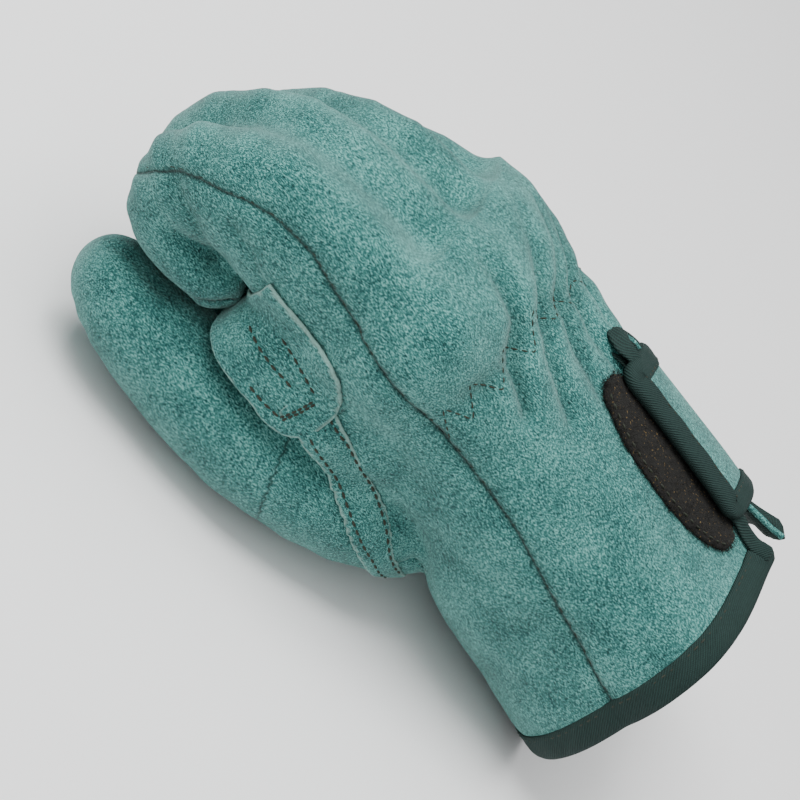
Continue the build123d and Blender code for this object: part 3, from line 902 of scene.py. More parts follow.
def thread_material(name, colour, light):
    """Twisted thread: fine slanting strands show as a faint diagonal."""
    material, tree, shader = new_material(name)
    place = add_node(tree, "TexCoord").outputs["Object"]
    strands = add_node(tree, "TexWave", {"wave_type": "BANDS", "bands_direction": "DIAGONAL"}, Vector=place,
                       Scale=900.0, Distortion=1.5).outputs["Fac"]
    tint = noise_at(tree, place, 700.0)
    fleck = maths(tree, "MULTIPLY", maths(tree, "ADD", strands, tint), 0.5)
    tree.links.new(mix_colour(tree, fleck, colour, light), shader.inputs["Base Color"])
    bump = add_node(tree, "Bump", None, Height=strands, Strength=0.6, Distance=0.0002)
    tree.links.new(bump.outputs["Normal"], shader.inputs["Normal"])
    shader.inputs["Roughness"].default_value = 0.7
    return material


dark_thread = thread_material("dark thread", srgb(16, 20, 16), srgb(52, 58, 42))


def thread_piece(name, rows, nodes, body="hand", **sizes):
    points_mm, faces_list = stitch_mesh(rows, **sizes)
    piece = new_piece(name, points_mm, faces_list, dark_thread)
    if callable(body):
        body(piece)
    else:
        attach(piece, body)
    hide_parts(*nodes)
    print(name, "has", len(faces_list) // 44, "stitches")
    return piece


# %% [markdown]
# ## Patch on the thumb crotch, and the lapped seam
# The corner between thumb and index wears out first, so a second layer of leather covers it and folds
# over the front edge of the web. From under it a lapped seam runs to the heel of the hand: the palm
# leather lies over the thumb leather with its edge left raw, held by two rows. Both are copies of the
# skin below them, cut to their outline and lifted by their own thickness.

# %% Laying a piece of leather on the skin
def lay_on(name, bed, beds_out, outline, level, thick, near, smooth=0):
    """A closed piece above part of the skin: outline is a field that is positive inside the piece."""
    faces = triangles[near[triangles].all(axis=1)]
    used, where = np.unique(faces, return_inverse=True)
    faces = where.reshape(-1, 3)
    p = bed[used].copy()
    if smooth:
        links = np.unique(np.sort(np.vstack([faces[:, [0, 1]], faces[:, [1, 2]], faces[:, [2, 0]]]), 1),
                          axis=0)
        count = np.bincount(links.ravel(), minlength=len(p))[:, None]
        for _ in range(smooth):
            total = np.zeros_like(p)
            np.add.at(total, links[:, 0], p[links[:, 1]])
            np.add.at(total, links[:, 1], p[links[:, 0]])
            p = 0.5 * p + 0.5 * total / np.maximum(count, 1)
    out = point_normals(p, faces)
    value = outline(points[used])
    data = np.hstack([p, out, value[:, None]])
    data, faces = cut_along(data, faces, 6)
    faces = faces[data[:, 6][faces].mean(1) > 0]
    out = data[:, 3:6] / np.linalg.norm(data[:, 3:6], axis=1, keepdims=True)
    inside = data[:, 6]
    lift = level(data[:, :3], inside) if callable(level) else level
    depth = thick(data[:, :3], inside) if callable(thick) else np.full(len(data), thick)
    lift = np.broadcast_to(lift, (len(data),))
    rounding = 0.35 * np.exp(-(inside / 0.5) ** 2)
    outer = data[:, :3] + out * (lift + depth - rounding)[:, None]
    inner = data[:, :3] + out * lift[:, None]
    return close_piece(name, outer, inner, faces)


def rounded_box(a, b, centre, half, corner):
    """Distance to a rectangle with round corners, positive inside."""
    da = np.abs(a - centre[0]) - half[0] + corner
    db = np.abs(b - centre[1]) - half[1] + corner
    outside = np.hypot(np.maximum(da, 0), np.maximum(db, 0))
    return corner - outside - np.minimum(np.maximum(da, db), 0)


# %% Crotch patch: it bridges the valley between web and thumb, so its bed is a fuller form
def fuller_distance(p):
    _, body, thumb = form_distance(p)
    return soft_min(body, thumb, 24.0)


near_patch = (np.abs(points[:, 0] + 40) < 30) & (np.abs(points[:, 2] - 50) < 24) & (points[:, 1] < -22)
near_patch &= points[:, 0] > -63
near_strip = (np.abs(points[:, 0] - 10) < 42) & (points[:, 1] < -24) & (points[:, 2] < 58)
bed = points.copy()
beside_thumb = near_patch | near_strip
for _ in range(2):
    rise = slope(fuller_distance, bed[beside_thumb])
    depth = fuller_distance(bed[beside_thumb]) / np.maximum((rise ** 2).sum(1), 0.3)
    bed[beside_thumb] -= rise * depth[:, None]
bulge = np.linalg.norm(bed - points, axis=1)
reach_out = smooth_step((points[:, 0] + 64) / 14) * smooth_step((-2 - points[:, 0]) / 22)
bed = points + (bed - points) * reach_out[:, None] + skin_out * (0.5 * wander(points, 22.0, 2))[:, None]
print("patch bed stands out by up to", round(float(bulge.max()), 1), "mm")


def patch_outline(p):
    lean = p[:, 2] - 53.0 + 0.12 * (p[:, 0] + 40)
    front = rounded_box(p[:, 0], lean, (-49, 0), (29.5, 14.8), 13.0)
    return np.minimum(front, np.minimum(p[:, 0] + 58.5, -35 - p[:, 1]) + 0.6 * wander(p, 4.0, 5))


patch_rows = [[(-53, 53.5), (-41, 51.6), (-30.5, 51.4)], [(-45, 59), (-35, 57), (-27, 55)],
              [(-41, 43.2), (-35, 42.8), (-29.5, 43.3)]]


def patch_level(p, inside):
    rows = np.min([np.abs(beside_line(p[:, 0], p[:, 2], row)) for row in patch_rows], axis=0)
    return 0.5 - 0.45 * np.exp(-(rows / 1.0) ** 2) + 0.25 * wander(p, 6.0, 6)


patch, patch_area = lay_on("crotch_patch", bed, skin_out, patch_outline, patch_level, 1.4, near_patch,
                           smooth=10)
patch.data.materials.append(suede)
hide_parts("thumb_crotch_patch")
over_web(patch)
print("patch area", round(patch_area * 1e4, 1), "square cm")


# %% Lapped seam strip
def strip_outline(p):
    height = above_lap(p)
    far = 13.0 - 0.11 * np.clip(p[:, 0] + 20, 0, 60)
    wobble = 0.25 * wander(p, 2.5, 8)
    return np.minimum(np.minimum(height + wobble, far - height), np.minimum(-33 - p[:, 1], 46 - p[:, 0]))


def strip_thick(p, inside):
    return 1.75 * smooth_step(1.35 - above_lap(p) / 9.0) + 0.05


strip, strip_area = lay_on("lapped_seam_strip", bed, skin_out, strip_outline, 0.15, strip_thick, near_strip,
                           smooth=10)
strip.data.materials.append(suede)
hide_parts("thumb_seam_strip")
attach(strip, "hand")
print("strip area", round(strip_area * 1e4, 1), "square cm")


# %% Their stitches
def tree_of(piece):
    return BVHTree.FromPolygons([tuple(np.array(v.co) / MM - origin) for v in piece.data.vertices],
                                [tuple(f.vertices) for f in piece.data.polygons])


patch_tree, strip_tree = tree_of(patch), tree_of(strip)
rows = [[from_thumb_side(x, z, patch_tree) for x, z in along_path(row, 0.5)] for row in patch_rows]
bar = [[from_thumb_side(x, z, patch_tree)
        for x, z in along_path([(-28.3 - d, 43.3), (-26.6 - d, 48.5), (-25.6 - d, 54.5)], 0.5)]
       for d in (0.0, 0.9)]
thread_piece("patch_stitches", rows, ["crotch_patch_stitching"], body=over_web, lift=0.1)
thread_piece("patch_bar_stitches", bar, [], body=over_web, length=1.6, pitch=1.8, lift=0.15)


lower_row = [(-19.5, 45.5), (-10.4, 41.4), (0, 36.3), (10, 31.6), (22, 25), (31, 18)]
upper_row = [(-20.5, 52.7), (-10.5, 49.8), (3, 42.6), (18, 33.4), (34, 20.6)]


def strip_row(line):
    return [from_thumb_side(x, z, strip_tree) for x, z in along_path(line, 1.0)]


thread_piece("lapped_seam_stitches", [strip_row(lower_row), strip_row(upper_row)], ["lap_seam_stitching"],
             lift=0.12)


# %% [markdown]
# ## Twill tape
# The raw edges at the cuff, the slit and the strap are bound with a dark cotton tape folded over them.
# Its weave is a fine diagonal, coloured as lighter rib crests over darker grooves, a painted highlight and
# shade on the weave. The tape is swept along each edge with a folded cross section, and it carries its own
# running coordinates, so that the twill keeps its slant round every bend.

# %% The twill material
twill, twill_in, twill_out = new_group("twill weave", [("Rib mm", 1.0), ("Slant", 0.9)],
                                       [("Rib", "Float"), ("Height", "Float")])
tape_place = add_node(twill, "Attribute", {"attribute_name": "tape"}).outputs["Vector"]
parts = add_node(twill, "SeparateXYZ", None, Vector=tape_place)
wobble = maths(twill, "MULTIPLY", noise_at(twill, tape_place, 0.35), 0.5)
slanted = maths(twill, "ADD", maths(twill, "ADD", parts.outputs["X"], wobble),
                maths(twill, "MULTIPLY", parts.outputs["Y"], twill_in.outputs["Slant"]))
turns = maths(twill, "DIVIDE", maths(twill, "MULTIPLY", slanted, 2 * math.pi), twill_in.outputs["Rib mm"])
rib = maths(twill, "ADD", maths(twill, "MULTIPLY", maths(twill, "SINE", turns), 0.5), 0.5)
cross_turns = maths(twill, "MULTIPLY", maths(twill, "SUBTRACT", parts.outputs["X"],
                                             maths(twill, "MULTIPLY", parts.outputs["Y"],
                                                   0.6)), 2 * math.pi / 0.55)
yarn = maths(twill, "ADD", maths(twill, "MULTIPLY", maths(twill, "SINE", cross_turns), 0.5), 0.5)
twill.links.new(maths(twill, "ADD", maths(twill, "MULTIPLY", rib, 0.75),
                      maths(twill, "MULTIPLY", yarn, 0.25)),
                twill_out.inputs["Rib"])
twill.links.new(maths(twill, "ADD", rib, maths(twill, "MULTIPLY", yarn, 0.35)), twill_out.inputs["Height"])

tape_cloth, tape_tree, tape_shader = new_material("dark green twill tape")
weave = use_group(tape_tree, twill, Rib_mm=1.0, Slant=0.9)
lint = noise_at(tape_tree, add_node(tape_tree, "TexCoord").outputs["Object"], 900.0, 3.0, 0.7)
# Painted highlight and shade: the rib crests take the lighter green and the grooves the darker one.
tape_colour = mix_colour(tape_tree, weave.outputs["Rib"], srgb(8, 22, 20), srgb(30, 54, 50))
tape_colour = mix_colour(tape_tree, maths(tape_tree, "MULTIPLY", lint, 0.35), tape_colour, srgb(52, 76, 72))
tape_tree.links.new(tape_colour, tape_shader.inputs["Base Color"])
tape_bump = add_node(tape_tree, "Bump", None, Height=weave.outputs["Height"], Strength=0.7, Distance=0.0003)
tape_tree.links.new(tape_bump.outputs["Normal"], tape_shader.inputs["Normal"])
tape_shader.inputs["Roughness"].default_value = 0.8
tape_shader.inputs["Specular IOR Level"].default_value = 0.3


# %% Folding tape over an edge
def fold_tape(name, edge, outs, aways, width=8.5, core=1.8, closed=False, puff=0.25, end_puff=0.0):
    """Tape over an edge. Each point has an outward direction, and one over the leather away from the edge."""
    edge, outs, aways = (np.array(v, float) for v in (edge, outs, aways))
    count = len(edge)
    run = np.concatenate([[0], np.cumsum(np.linalg.norm(np.diff(edge, axis=0), axis=1))])
    t0, g = 0.9, 0.05
    outer = [(width, g), (width - 0.1, t0 * 0.7), (width - 0.8, t0), (width * 0.7, t0),
             (width * 0.45, t0 + puff), (width * 0.2, t0 + puff), (0.6, t0), (-0.5, t0 * 0.45),
             (-0.9, -core / 2), (-0.5, -core - t0 * 0.45), (0.6, -core - t0), (width * 0.3, -core - t0),
             (width * 0.7, -core - t0), (width, -core - t0 * 0.6), (width, -core - g)]
    inner = [(width * 0.5, -core - g), (0.1, -core - g), (0.0, -core / 2), (0.1, g), (width * 0.5, g)]
    ring = outer + inner
    profile = np.concatenate([[0], np.cumsum(np.linalg.norm(np.diff(np.array(ring), axis=0), axis=1))])
    points_out, tape = [], []
    for n in range(count):
        ripple = 0.12 * math.sin(run[n] / 2.1) + 0.2 * noise.noise(Vector((run[n] / 9, 3.3, len(name))))
        from_end = min(run[n], run[-1] - run[n])
        plump = 0.0 if closed else end_puff * math.exp(-(from_end / 7.0) ** 2)
        narrow = 1.0 if closed else min(1.0, 0.35 + 0.65 * math.sqrt(min(from_end / 2.2, 1.0)))
        for k, (t, level) in enumerate(ring):
            swell = (ripple + plump * math.sin(math.pi * t / width)
                     if k < len(outer) and 0 < t < width else 0.0)
            level += swell if level > 0 else -swell * 0.4
            level = (level + core / 2) * narrow - core / 2
            points_out.append(edge[n] + aways[n] * t + outs[n] * level)
            tape.append((run[n], profile[k], 0.0))
    size = len(ring)
    faces_list = []
    for n in range(count if closed else count - 1):
        m = (n + 1) % count
        for k in range(size):
            j = (k + 1) % size
            faces_list.append((n * size + k, n * size + j, m * size + j, m * size + k))
    if not closed:
        for end, order in ((0, 1), (count - 1, -1)):
            cap = [end * size + k for k in range(size)]
            faces_list.append(tuple(cap[::order]))
    piece = new_piece(name, points_out, faces_list, tape_cloth)
    along = piece.data.attributes.new("tape", "FLOAT_VECTOR", "POINT")
    along.data.foreach_set("vector", np.array(tape).ravel())
    bm = bmesh.new()
    bm.from_mesh(piece.data)
    bmesh.ops.recalc_face_normals(bm, faces=bm.faces)
    bm.to_mesh(piece.data)
    bm.free()
    return piece, run[-1]


# %% Cuff binding
def cuff_edge():
    turns = np.linspace(slit_angle + 3.4, slit_angle + 356.6, 262)
    ends = [cuff_end + cuff_tilt * max(math.cos(math.radians(a)), 0) ** 2 for a in turns]
    hits = [round_hand(x - 0.4, a) for x, a in zip(ends, turns)]
    spots = relaxed([h[0] for h in hits], 6)
    outs = relaxed([h[1] for h in hits], 10)
    away = np.array([-1.0, 0, 0])
    outs = outs - (outs @ away)[:, None] * away
    outs /= np.linalg.norm(outs, axis=1, keepdims=True)
    inward = [round_hand(x - 8.5, a)[0] for x, a in zip(ends, turns)]
    aways = relaxed(inward, 6) - spots
    aways /= np.linalg.norm(aways, axis=1, keepdims=True)
    return spots, outs, aways


spots, outs, aways = cuff_edge()
cuff_tape, cuff_length = fold_tape("cuff_binding_tape", spots, outs, aways, width=8.7, end_puff=2.0)
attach(cuff_tape, "hand")
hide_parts("cuff_binding")
print("cuff tape runs", round(cuff_length), "mm")


def stitches_on_tape(spots, outs, aways, t, level):
    return [(spots[n] + aways[n] * t + outs[n] * level, outs[n]) for n in range(len(spots))]


thread_piece("cuff_stitches", [stitches_on_tape(spots, outs, aways, 7.3, 0.72)], ["cuff_stitching"],
             radius=0.3, lift=0.05)


# %% Slit binding
def slit_edge():
    straight = [(x, -slit_half) for x in np.arange(cuff_end + cuff_tilt - 1.5, slit_start + slit_half, -1.0)]
    bend = [(slit_start + slit_half - slit_half * math.cos(a), slit_half * math.sin(a))
            for a in np.radians(np.arange(-85, 86, 8))]
    line = straight + bend + [(x, -y) for x, y in reversed(straight)]
    spots, outs, aways = [], [], []
    for x, across in line:
        hit = round_hand(x, slit_angle + across / 0.77)
        centre = round_hand(max(x, slit_start + slit_half), slit_angle)[0]
        spots.append(hit[0])
        outs.append(hit[1])
        aways.append(hit[0] - centre)
    spots, outs, aways = relaxed(spots, 4), relaxed(outs, 8), relaxed(aways, 3)
    outs /= np.linalg.norm(outs, axis=1, keepdims=True)
    aways -= (aways * outs).sum(1, keepdims=True) * outs
    aways /= np.linalg.norm(aways, axis=1, keepdims=True)
    return spots, outs, aways


spots, outs, aways = slit_edge()
slit_tape, slit_length = fold_tape("slit_binding_tape", spots, outs, aways, width=6.0, puff=0.6, end_puff=2.0)
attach(slit_tape, "hand")
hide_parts("slit_binding")
print("slit tape runs", round(slit_length), "mm")


# %% [markdown]
# ## The closing strap
# A short leather tab is sewn down on the far side of the slit and closes over it. Under its free end is
# a hook patch, which grips a loop patch on the glove. The tab is stiff, so it stands a few millimetres
# above the leather, and it turns on its sewn end.

# %% The strap's surface
strap_start, strap_width, strap_lean = 36.0, 57.0, 6.0
strap_root_angle = 37.0
free_angles = (-4.0, 1.0)


def strap_place(u, v, level):
    """A place on the strap: u runs from its sewn end to its free end, v across it towards the cuff."""
    x = strap_start - strap_lean * u + v * strap_width
    free = free_angles[0] + v * (free_angles[1] - free_angles[0])
    angle = math.radians(strap_root_angle + u * (free - strap_root_angle))
    zc, w, h = (float(q) for q in hand_section(x))
    lift = 4.2 + 1.4 * u + 6.0 * v * (1 - 0.8 * u) + 0.8 * math.sin(3.1 * min(max(u, 0), 1)) + level
    return np.array([x, (w + lift) * math.sin(angle), zc + (h + lift) * math.cos(angle)])


def plate(name, place, nu, nv, thick, material):
    """A closed plate over a grid of places, thick measured downwards."""
    grid = [[place(i / nu, j / nv, 0.0) for j in range(nv + 1)] for i in range(nu + 1)]
    under = [[place(i / nu, j / nv, -thick) for j in range(nv + 1)] for i in range(nu + 1)]
    top = np.array(grid).reshape(-1, 3)
    base = np.array(under).reshape(-1, 3)
    index = np.arange((nu + 1) * (nv + 1)).reshape(nu + 1, nv + 1)
    a, b, c, d = (index[:-1, :-1].ravel(), index[1:, :-1].ravel(),
                  index[1:, 1:].ravel(), index[:-1, 1:].ravel())
    tris = np.vstack([np.stack([a, b, c], 1), np.stack([a, c, d], 1)])
    normal = np.cross(top[b[0]] - top[a[0]], top[d[0]] - top[a[0]])
    if normal[2] < 0:
        tris = tris[:, ::-1]
    piece, area = close_piece(name, top, base, tris)
    piece.data.materials.append(material)
    return piece, area


strap, strap_area = plate("closing_strap",
                          lambda u, v, level: strap_place(0.94 * u, 0.04 + 0.92 * v,
                                                          level), 36, 48, 1.8, suede)
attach(strap, "strap")
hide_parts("strap")
root, root_area = plate("strap_root_leather",
                        lambda u, v, level: strap_place(-0.04 - 0.24 * u, v,
                                                        level - 1.6 * u), 14, 48, 1.8, suede)
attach(root, "hand")
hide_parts("strap_root")
print("strap", round(strap_area * 1e4, 1), "root", round(root_area * 1e4, 1), "square cm")


# %% Strap binding: one tape round three sides
def strap_edge():
    """The outline of three sides with round corners, and the way from each point over the leather."""
    corner = 5.0
    long, wide = 34.0, strap_width
    turns = np.radians(np.arange(0, 91, 10))
    flat = [(a, 0.0, 0.0, 1.0) for a in np.arange(1.0, long - corner, 1.5)]
    flat += [(long - corner + corner * math.sin(t), corner - corner * math.cos(t), -math.sin(t),
              math.cos(t)) for t in turns]
    flat += [(long, b, -1.0, 0.0) for b in np.arange(corner + 1.5, wide - corner, 1.5)]
    flat += [(long - corner + corner * math.cos(t), wide - corner + corner * math.sin(t), -math.cos(t),
              -math.sin(t)) for t in turns]
    flat += [(a, wide, 0.0, -1.0) for a in np.arange(long - corner - 1.0, 1.0, -1.5)]
    spots, outs, aways = [], [], []
    for a, b, da, db in flat:
        u, v = a / long, b / wide
        p = strap_place(u, v, 0)
        du = strap_place(u + 0.01, v, 0) - strap_place(u - 0.01, v, 0)
        dv = strap_place(u, v + 0.01, 0) - strap_place(u, v - 0.01, 0)
        out = np.cross(dv, du)
        out = out if out[2] > 0 else -out
        spots.append(p)
        outs.append(out / np.linalg.norm(out))
        away = strap_place(u + da / long * 0.2, v + db / wide * 0.2, 0) - p
        aways.append(away)
    spots, outs, aways = np.array(spots), np.array(outs), np.array(aways)
    aways -= (aways * outs).sum(1, keepdims=True) * outs
    aways /= np.linalg.norm(aways, axis=1, keepdims=True)
    return spots, outs, aways


spots, outs, aways = strap_edge()
strap_tape, strap_tape_length = fold_tape("strap_binding_tape", spots, outs, aways, width=7.0, puff=0.15)
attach(strap_tape, "strap")
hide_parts("strap_binding")
thread_piece("strap_stitches", [stitches_on_tape(spots, outs, aways, 5.9, 0.72)], ["strap_stitching"],
             body="strap", radius=0.3, lift=0.05)


# %% [markdown]
# ## Hook and loop patches
# The loop patch is a brushed knit: a mat of tiny tangled loops, nearly black, with some yellow-brown
# fibres that catch the light. The mat gets a rough bump, and a few thousand real fibres stand round its
# rim and over it, since its outline is fuzzy. The hook patch under the strap is mostly hidden.

# %% Pile material
pile, pile_tree, pile_shader = new_material("brushed pile")
pile_place = add_node(pile_tree, "TexCoord").outputs["Object"]
mat_noise = noise_at(pile_tree, pile_place, 1700.0, 3.0, 0.7)
flecks = noise_at(pile_tree, pile_place, 1300.0, 1.0, 0.4)
fleck_mask = maths(pile_tree, "MULTIPLY", maths(pile_tree, "SUBTRACT", flecks, 0.66), 9.0, clamp=True)
pile_colour = mix_colour(pile_tree, mat_noise, srgb(4, 6, 5), srgb(30, 28, 22))
pile_colour = mix_colour(pile_tree, fleck_mask, pile_colour, srgb(120, 98, 58))
pile_tree.links.new(pile_colour, pile_shader.inputs["Base Color"])
pile_bump = add_node(pile_tree, "Bump", None, Height=mat_noise, Strength=1.0, Distance=0.0012)
pile_tree.links.new(pile_bump.outputs["Normal"], pile_shader.inputs["Normal"])
pile_shader.inputs["Roughness"].default_value = 0.9


# %% Loop patch with its fibres
def loop_outline(p):
    across = (round_angle(p) + 3.0 - 0.10 * (p[:, 0] - 60)) * 0.77
    middle = 1 - ((p[:, 0] - 60.0) / 31.5) ** 2
    half = 12.5 * np.sqrt(np.clip(middle, 0.001, 1)) ** 0.8
    return np.where(middle > 0.001, half - np.abs(across), -np.abs(across) - 0.5) + 0.25 * wander(p, 2.0, 9)


near_loop = (np.abs(points[:, 0] - 60) < 36) & (np.abs(round_angle(points)) < 34) & (fields["back"] > 5)
bed_back = points + skin_out * (0.9 * wander(points, 22.0, 2) + gathers)[:, None]
loop, loop_area = lay_on("loop_patch_pile", bed_back, skin_out, loop_outline, 0.4,
                         lambda p, inside: 1.0 + 1.1 * smooth_step(inside / 3) + 0.25 * wander(p, 3.0, 11),
                         near_loop, smooth=8)
loop.data.materials.append(pile)
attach(loop, "hand")
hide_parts("loop_patch")
print("loop patch", round(loop_area * 1e4, 1), "square cm")


# %% Fibres on the pile
def fibres_on(piece, count, length, radius, seed, bias):
    """Short curled fibres, as thin three-sided strands standing on a piece's outer side."""
    rng = np.random.default_rng(seed)
    verts = np.array([v.co for v in piece.data.vertices]) / MM - origin
    norms = np.array([v.normal for v in piece.data.vertices])
    edge = np.zeros(len(verts))
    piece.data.attributes["edge"].data.foreach_get("value", edge)
    half = len(verts) // 2
    weight = 1 + bias * edge[:half]
    chosen = rng.choice(half, count, p=weight / weight.sum())
    points_out, faces_out = [], []
    for i in chosen:
        way = norms[i] + rng.normal(0, 0.55, 3)
        way /= np.linalg.norm(way)
        curl = rng.normal(0, 0.5, 3)
        p = verts[i] + rng.normal(0, 0.4, 3)
        size = length * rng.uniform(0.5, 1.2)
        base = len(points_out)
        side = np.cross(way, curl)
        side /= np.linalg.norm(side)
        other = np.cross(way, side)
        for n in range(4):
            t = n / 3
            c = p + way * size * t + curl * size * t * t
            r = radius * (1 - 0.75 * t)
            for k in range(3):
                a = 2.094 * k
                points_out.append(c + r * (math.cos(a) * side + math.sin(a) * other))
        for n in range(3):
            for k in range(3):
                j = (k + 1) % 3
                faces_out.append((base + n * 3 + k, base + n * 3 + j, base + n * 3 + 3 + j,
                                  base + n * 3 + 3 + k))
        faces_out.append((base, base + 2, base + 1))
        faces_out.append((base + 9, base + 10, base + 11))
    return points_out, faces_out


fibre_points, fibre_faces = fibres_on(loop, 3200, 1.2, 0.07, 4, 5.0)
fibres_piece = new_piece("pile_fibres", fibre_points, fibre_faces, pile)
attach(fibres_piece, "hand")


# %% Stitches at the rim of the loop patch
loop_tree = tree_of(loop)
rim = []
for n in range(121):
    a = 2 * math.pi * n / 120
    x = 60 + 29.3 * math.cos(a)
    middle = max(1 - ((x - 60) / 31.5) ** 2, 0.0)
    across = (12.5 * middle ** 0.4 - 1.7) * math.copysign(1, math.sin(a)) if abs(math.sin(a)) > 1e-6 else 0.0
    rim.append(round_hand(x, across / 0.77 - 3.0 + 0.10 * (x - 60), loop_tree))
thread_piece("loop_patch_stitches", [rim], ["loop_patch_stitching"], radius=0.3, lift=0.1)


# %% Hook patch under the strap
hook, hook_area = plate("hook_patch_plate",
                        lambda u, v, level: strap_place(0.30 + 0.52 * u, 0.12 + 0.76 * v, level - 2.0),
                        18, 26, 1.2, pile)
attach(hook, "strap")
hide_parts("hook_patch")
print("hook patch", round(hook_area * 1e4, 1), "square cm")


# %% [markdown]
# ## Thread in the turned seams, and the elastic
# In a turned seam the thread is only a dark line at the bottom of the crease. The zig-zag row that holds
# the elastic lies on top of the leather, over the shallow groove pinched in along the elastic.

# %% Seam threads
def seam_hits(line, first, last, step=1.0):
    hits = [from_thumb_side(x, z) for x, z in along_path(line, step) if first < x < last]
    return [h for h in hits if h is not None]


side_line = [q for q in radial_seam if q[0] < 112][:19]
hand_part = [h for h in seam_hits(side_line, -22, cuff_end - 9)]
thread_piece("side_seam_stitches", [hand_part], ["side_seam_thread"], length=2.4, radius=0.26, lift=-0.2)
finger_part = [h for h in seam_hits(side_line[:-2], -102, -23)]
thread_piece("finger_seam_stitches", [finger_part], ["finger_seam_thread"], body=over_knuckles, length=2.4,
             radius=0.26, lift=-0.2)


# %% Zig-zag over the elastic
def zigzag_row():
    line = []
    arc = -82.0
    side = 1
    while arc < 74:
        line.append((elastic_x(np.array(arc)) + 4.3 * side, arc))
        arc += 7.5 / 0.78 * (1.0 if abs(arc) < 60 else 0.8)
        side = -side
    return [round_hand(float(x), float(a)) for x, a in along_path([(float(x), a) for x, a in line], 0.8)]


thread_piece("elastic_stitches", [zigzag_row()], ["elastic_stitching"], length=2.2, pitch=2.7, radius=0.26,
             lift=0.06)


# %% The elastic band inside the wrist
band, band_tree, band_shader = new_material("ribbed elastic")
band_ribs = add_node(band_tree, "TexWave", {"wave_type": "BANDS", "bands_direction": "X"},
                     Vector=add_node(band_tree, "TexCoord").outputs["Object"], Scale=250.0).outputs["Fac"]
band_tree.links.new(mix_colour(band_tree, band_ribs, srgb(196, 196, 186), srgb(226, 226, 218)),
                    band_shader.inputs["Base Color"])
band_bump = add_node(band_tree, "Bump", None, Height=band_ribs, Strength=0.5, Distance=0.0003)
band_tree.links.new(band_bump.outputs["Normal"], band_shader.inputs["Normal"])
band_shader.inputs["Roughness"].default_value = 0.8


def band_outline(p):
    return np.minimum(5.0 - np.abs(p[:, 0] - elastic_x(round_angle(p))), 74 - np.abs(round_angle(p)))


near_band = (np.abs(points[:, 0] - 4) < 16) & (points[:, 2] > 62)
elastic, elastic_area = lay_on("wrist_elastic_band", skin, skin_normals, band_outline, -3.4, 1.2, near_band,
                               smooth=2)
elastic.data.materials.append(band)
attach(elastic, "hand")
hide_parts("wrist_elastic")
print("elastic", round(elastic_area * 1e4, 1), "square cm")


# %% Thread along the thumb's inner seam
thumb_line_low = [cast(skin_tree, (x, -31.0, -20), (0, 0, 1)) for x in np.arange(-82, 10, 1.0)]
thread_piece("thumb_seam_stitches", [thumb_line_low], ["thumb_seam_thread"], body=over_thumb, length=2.4,
             radius=0.3, lift=-0.05)


# %% [markdown]
# ## Flat sizes of the leather and pile
# Every one of these was cut flat before it was sewn. The leather isn't stretched here, so the area of
# one face of the finished piece is the area that was cut. Width and length are those of the smallest
# rectangle in the piece's own plane, and a bent piece is taken longer until it holds its area. Only the
# crotch patch, the lapped strip, the strap, the loop patch and the hook patch are sized here. The sewn
# root of the strap is 9 mm wide and is left out.

# %% Sheets and their flat sizes
def flat_size(piece):
    """Width, length and area of the flat cut of a thin piece, in metres."""
    corners = np.array([vertex.co[:] for vertex in piece.data.vertices])
    area = sum(face.area for face in piece.data.polygons) / 2
    spread = (corners - corners.mean(axis=0)) @ np.linalg.svd(corners - corners.mean(axis=0),
                                                              full_matrices=False)[2].T
    length, width = np.ptp(spread, axis=0)[:2]
    return width, max(length, area / width), area


for name, (piece, area) in made.items():
    width, length = blanks[name]

for piece in (patch, strip, strap, loop, hook):
    width, length, area = flat_size(piece)
    print(piece.name, "cut", round(width * 1000), "by", round(length * 1000), "mm,",
          round(area * 1e4, 1), "square cm")


# %% [markdown]
# ## Camera, floor and light
# The camera looks from the thumb side, with the hand pointing up to the left. It is rolled, so the
# glove stands diagonally in the frame while it lies level on the table. The floor is plain and
# pale, and large soft lights keep the suede's speckle without hard shadows.

# %% Camera
def camera_axes(azimuth, elevation, roll):
    a, e, r = (math.radians(v) for v in (azimuth, elevation, roll))
    towards = Vector((math.sin(a) * math.cos(e), -math.cos(a) * math.cos(e), math.sin(e)))
    right = Vector((math.cos(a), math.sin(a), 0))
    up = towards.cross(right)
    return math.cos(r) * right + math.sin(r) * up, math.cos(r) * up - math.sin(r) * right, towards


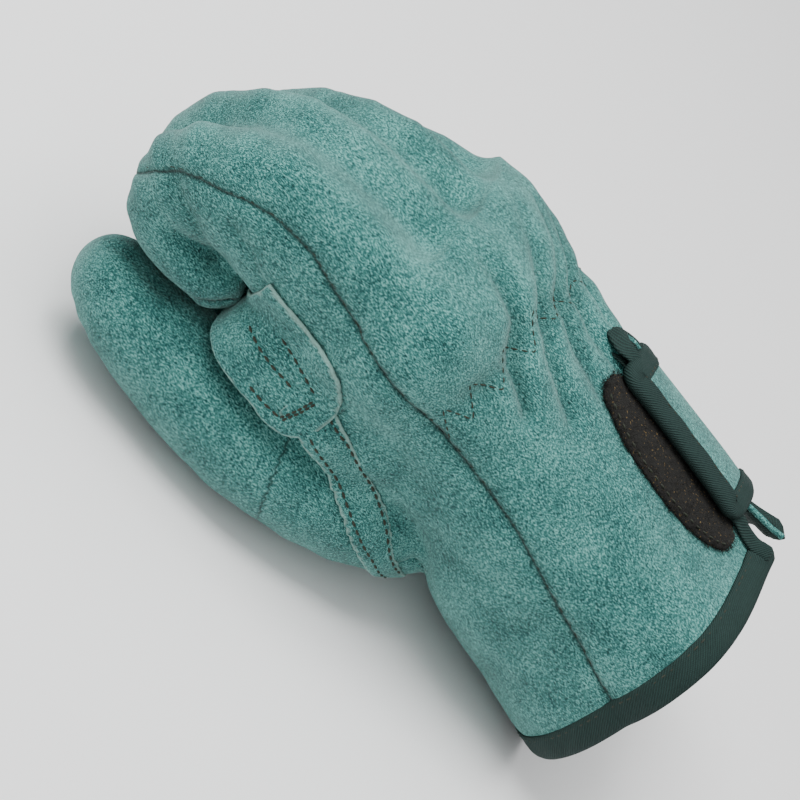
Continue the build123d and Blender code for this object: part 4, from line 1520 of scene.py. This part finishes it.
right, up, towards = camera_axes(-14.48, 34.73, 54.61)
distance, focal = 0.5796, 90.76
aside = Vector((0.0369, -0.0203)) * distance * 36 / focal / 0.8
camera = bpy.data.objects.new("camera", bpy.data.cameras.new("camera"))
camera.data.lens = focal
camera.data.sensor_width = 36
middle_height = (cad_box[0][2] + cad_box[1][2]) / 2
place = Vector((0, 0, middle_height)) + towards * distance
aim = Vector((0, 0, middle_height)) - right * aside[0] + up * aside[1]
back = (place - aim).normalized()
side = (right - back * right.dot(back)).normalized()
turn = Matrix((side, back.cross(side), back)).transposed().to_4x4()
camera.matrix_world = Matrix.Translation(place) @ turn
bpy.context.collection.objects.link(camera)
bpy.context.scene.camera = camera
print("camera stands", round(distance, 3), "m off")


# %% Floor
floor_mesh = bpy.data.meshes.new("floor")
span = 6.0
floor_mesh.from_pydata([(-span, -span, 0), (span, -span, 0), (span, span, 0), (-span, span, 0)], [],
                       [(0, 1, 2, 3)])
floor = bpy.data.objects.new("floor", floor_mesh)
floor.location = (0, 0, min(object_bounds()[0][2], 0.0) - 0.0003)
bpy.context.collection.objects.link(floor)
paper, paper_tree, paper_shader = new_material("pale paper floor")
paper_tone = noise_at(paper_tree, add_node(paper_tree, "TexCoord").outputs["Object"], 9.0, 3.0)
paper_colour = mix_colour(paper_tree, paper_tone, (0.93, 0.93, 0.93, 1), (0.96, 0.96, 0.955, 1))
paper_tree.links.new(paper_colour, paper_shader.inputs["Base Color"])
paper_shader.inputs["Roughness"].default_value = 0.9
floor_mesh.materials.append(paper)


# %% Lights
def soft_light(name, position, size, power, warmth=(1, 1, 1)):
    lamp = bpy.data.objects.new(name, bpy.data.lights.new(name, "AREA"))
    lamp.data.size = size
    lamp.data.energy = power
    lamp.data.color = warmth
    lamp.location = position
    lamp.rotation_euler = (Vector((0, 0, 0.04)) - Vector(position)).to_track_quat("-Z", "Y").to_euler()
    bpy.context.collection.objects.link(lamp)


soft_light("key softbox", tuple(towards * 0.75 + up * 0.8 + right * 0.35), 0.6, 15.0)
soft_light("fill softbox", tuple(towards * 1.1 + up * 0.1 + right * 0.4), 0.9, 4.0)
soft_light("top softbox", (0.1, 0.3, 1.4), 1.2, 12.0)
world = bpy.data.worlds.new("studio")
world.use_nodes = True
world.node_tree.nodes["Background"].inputs["Color"].default_value = (0.95, 0.98, 1.0, 1)
world.node_tree.nodes["Background"].inputs["Strength"].default_value = 0.34
bpy.context.scene.world = world
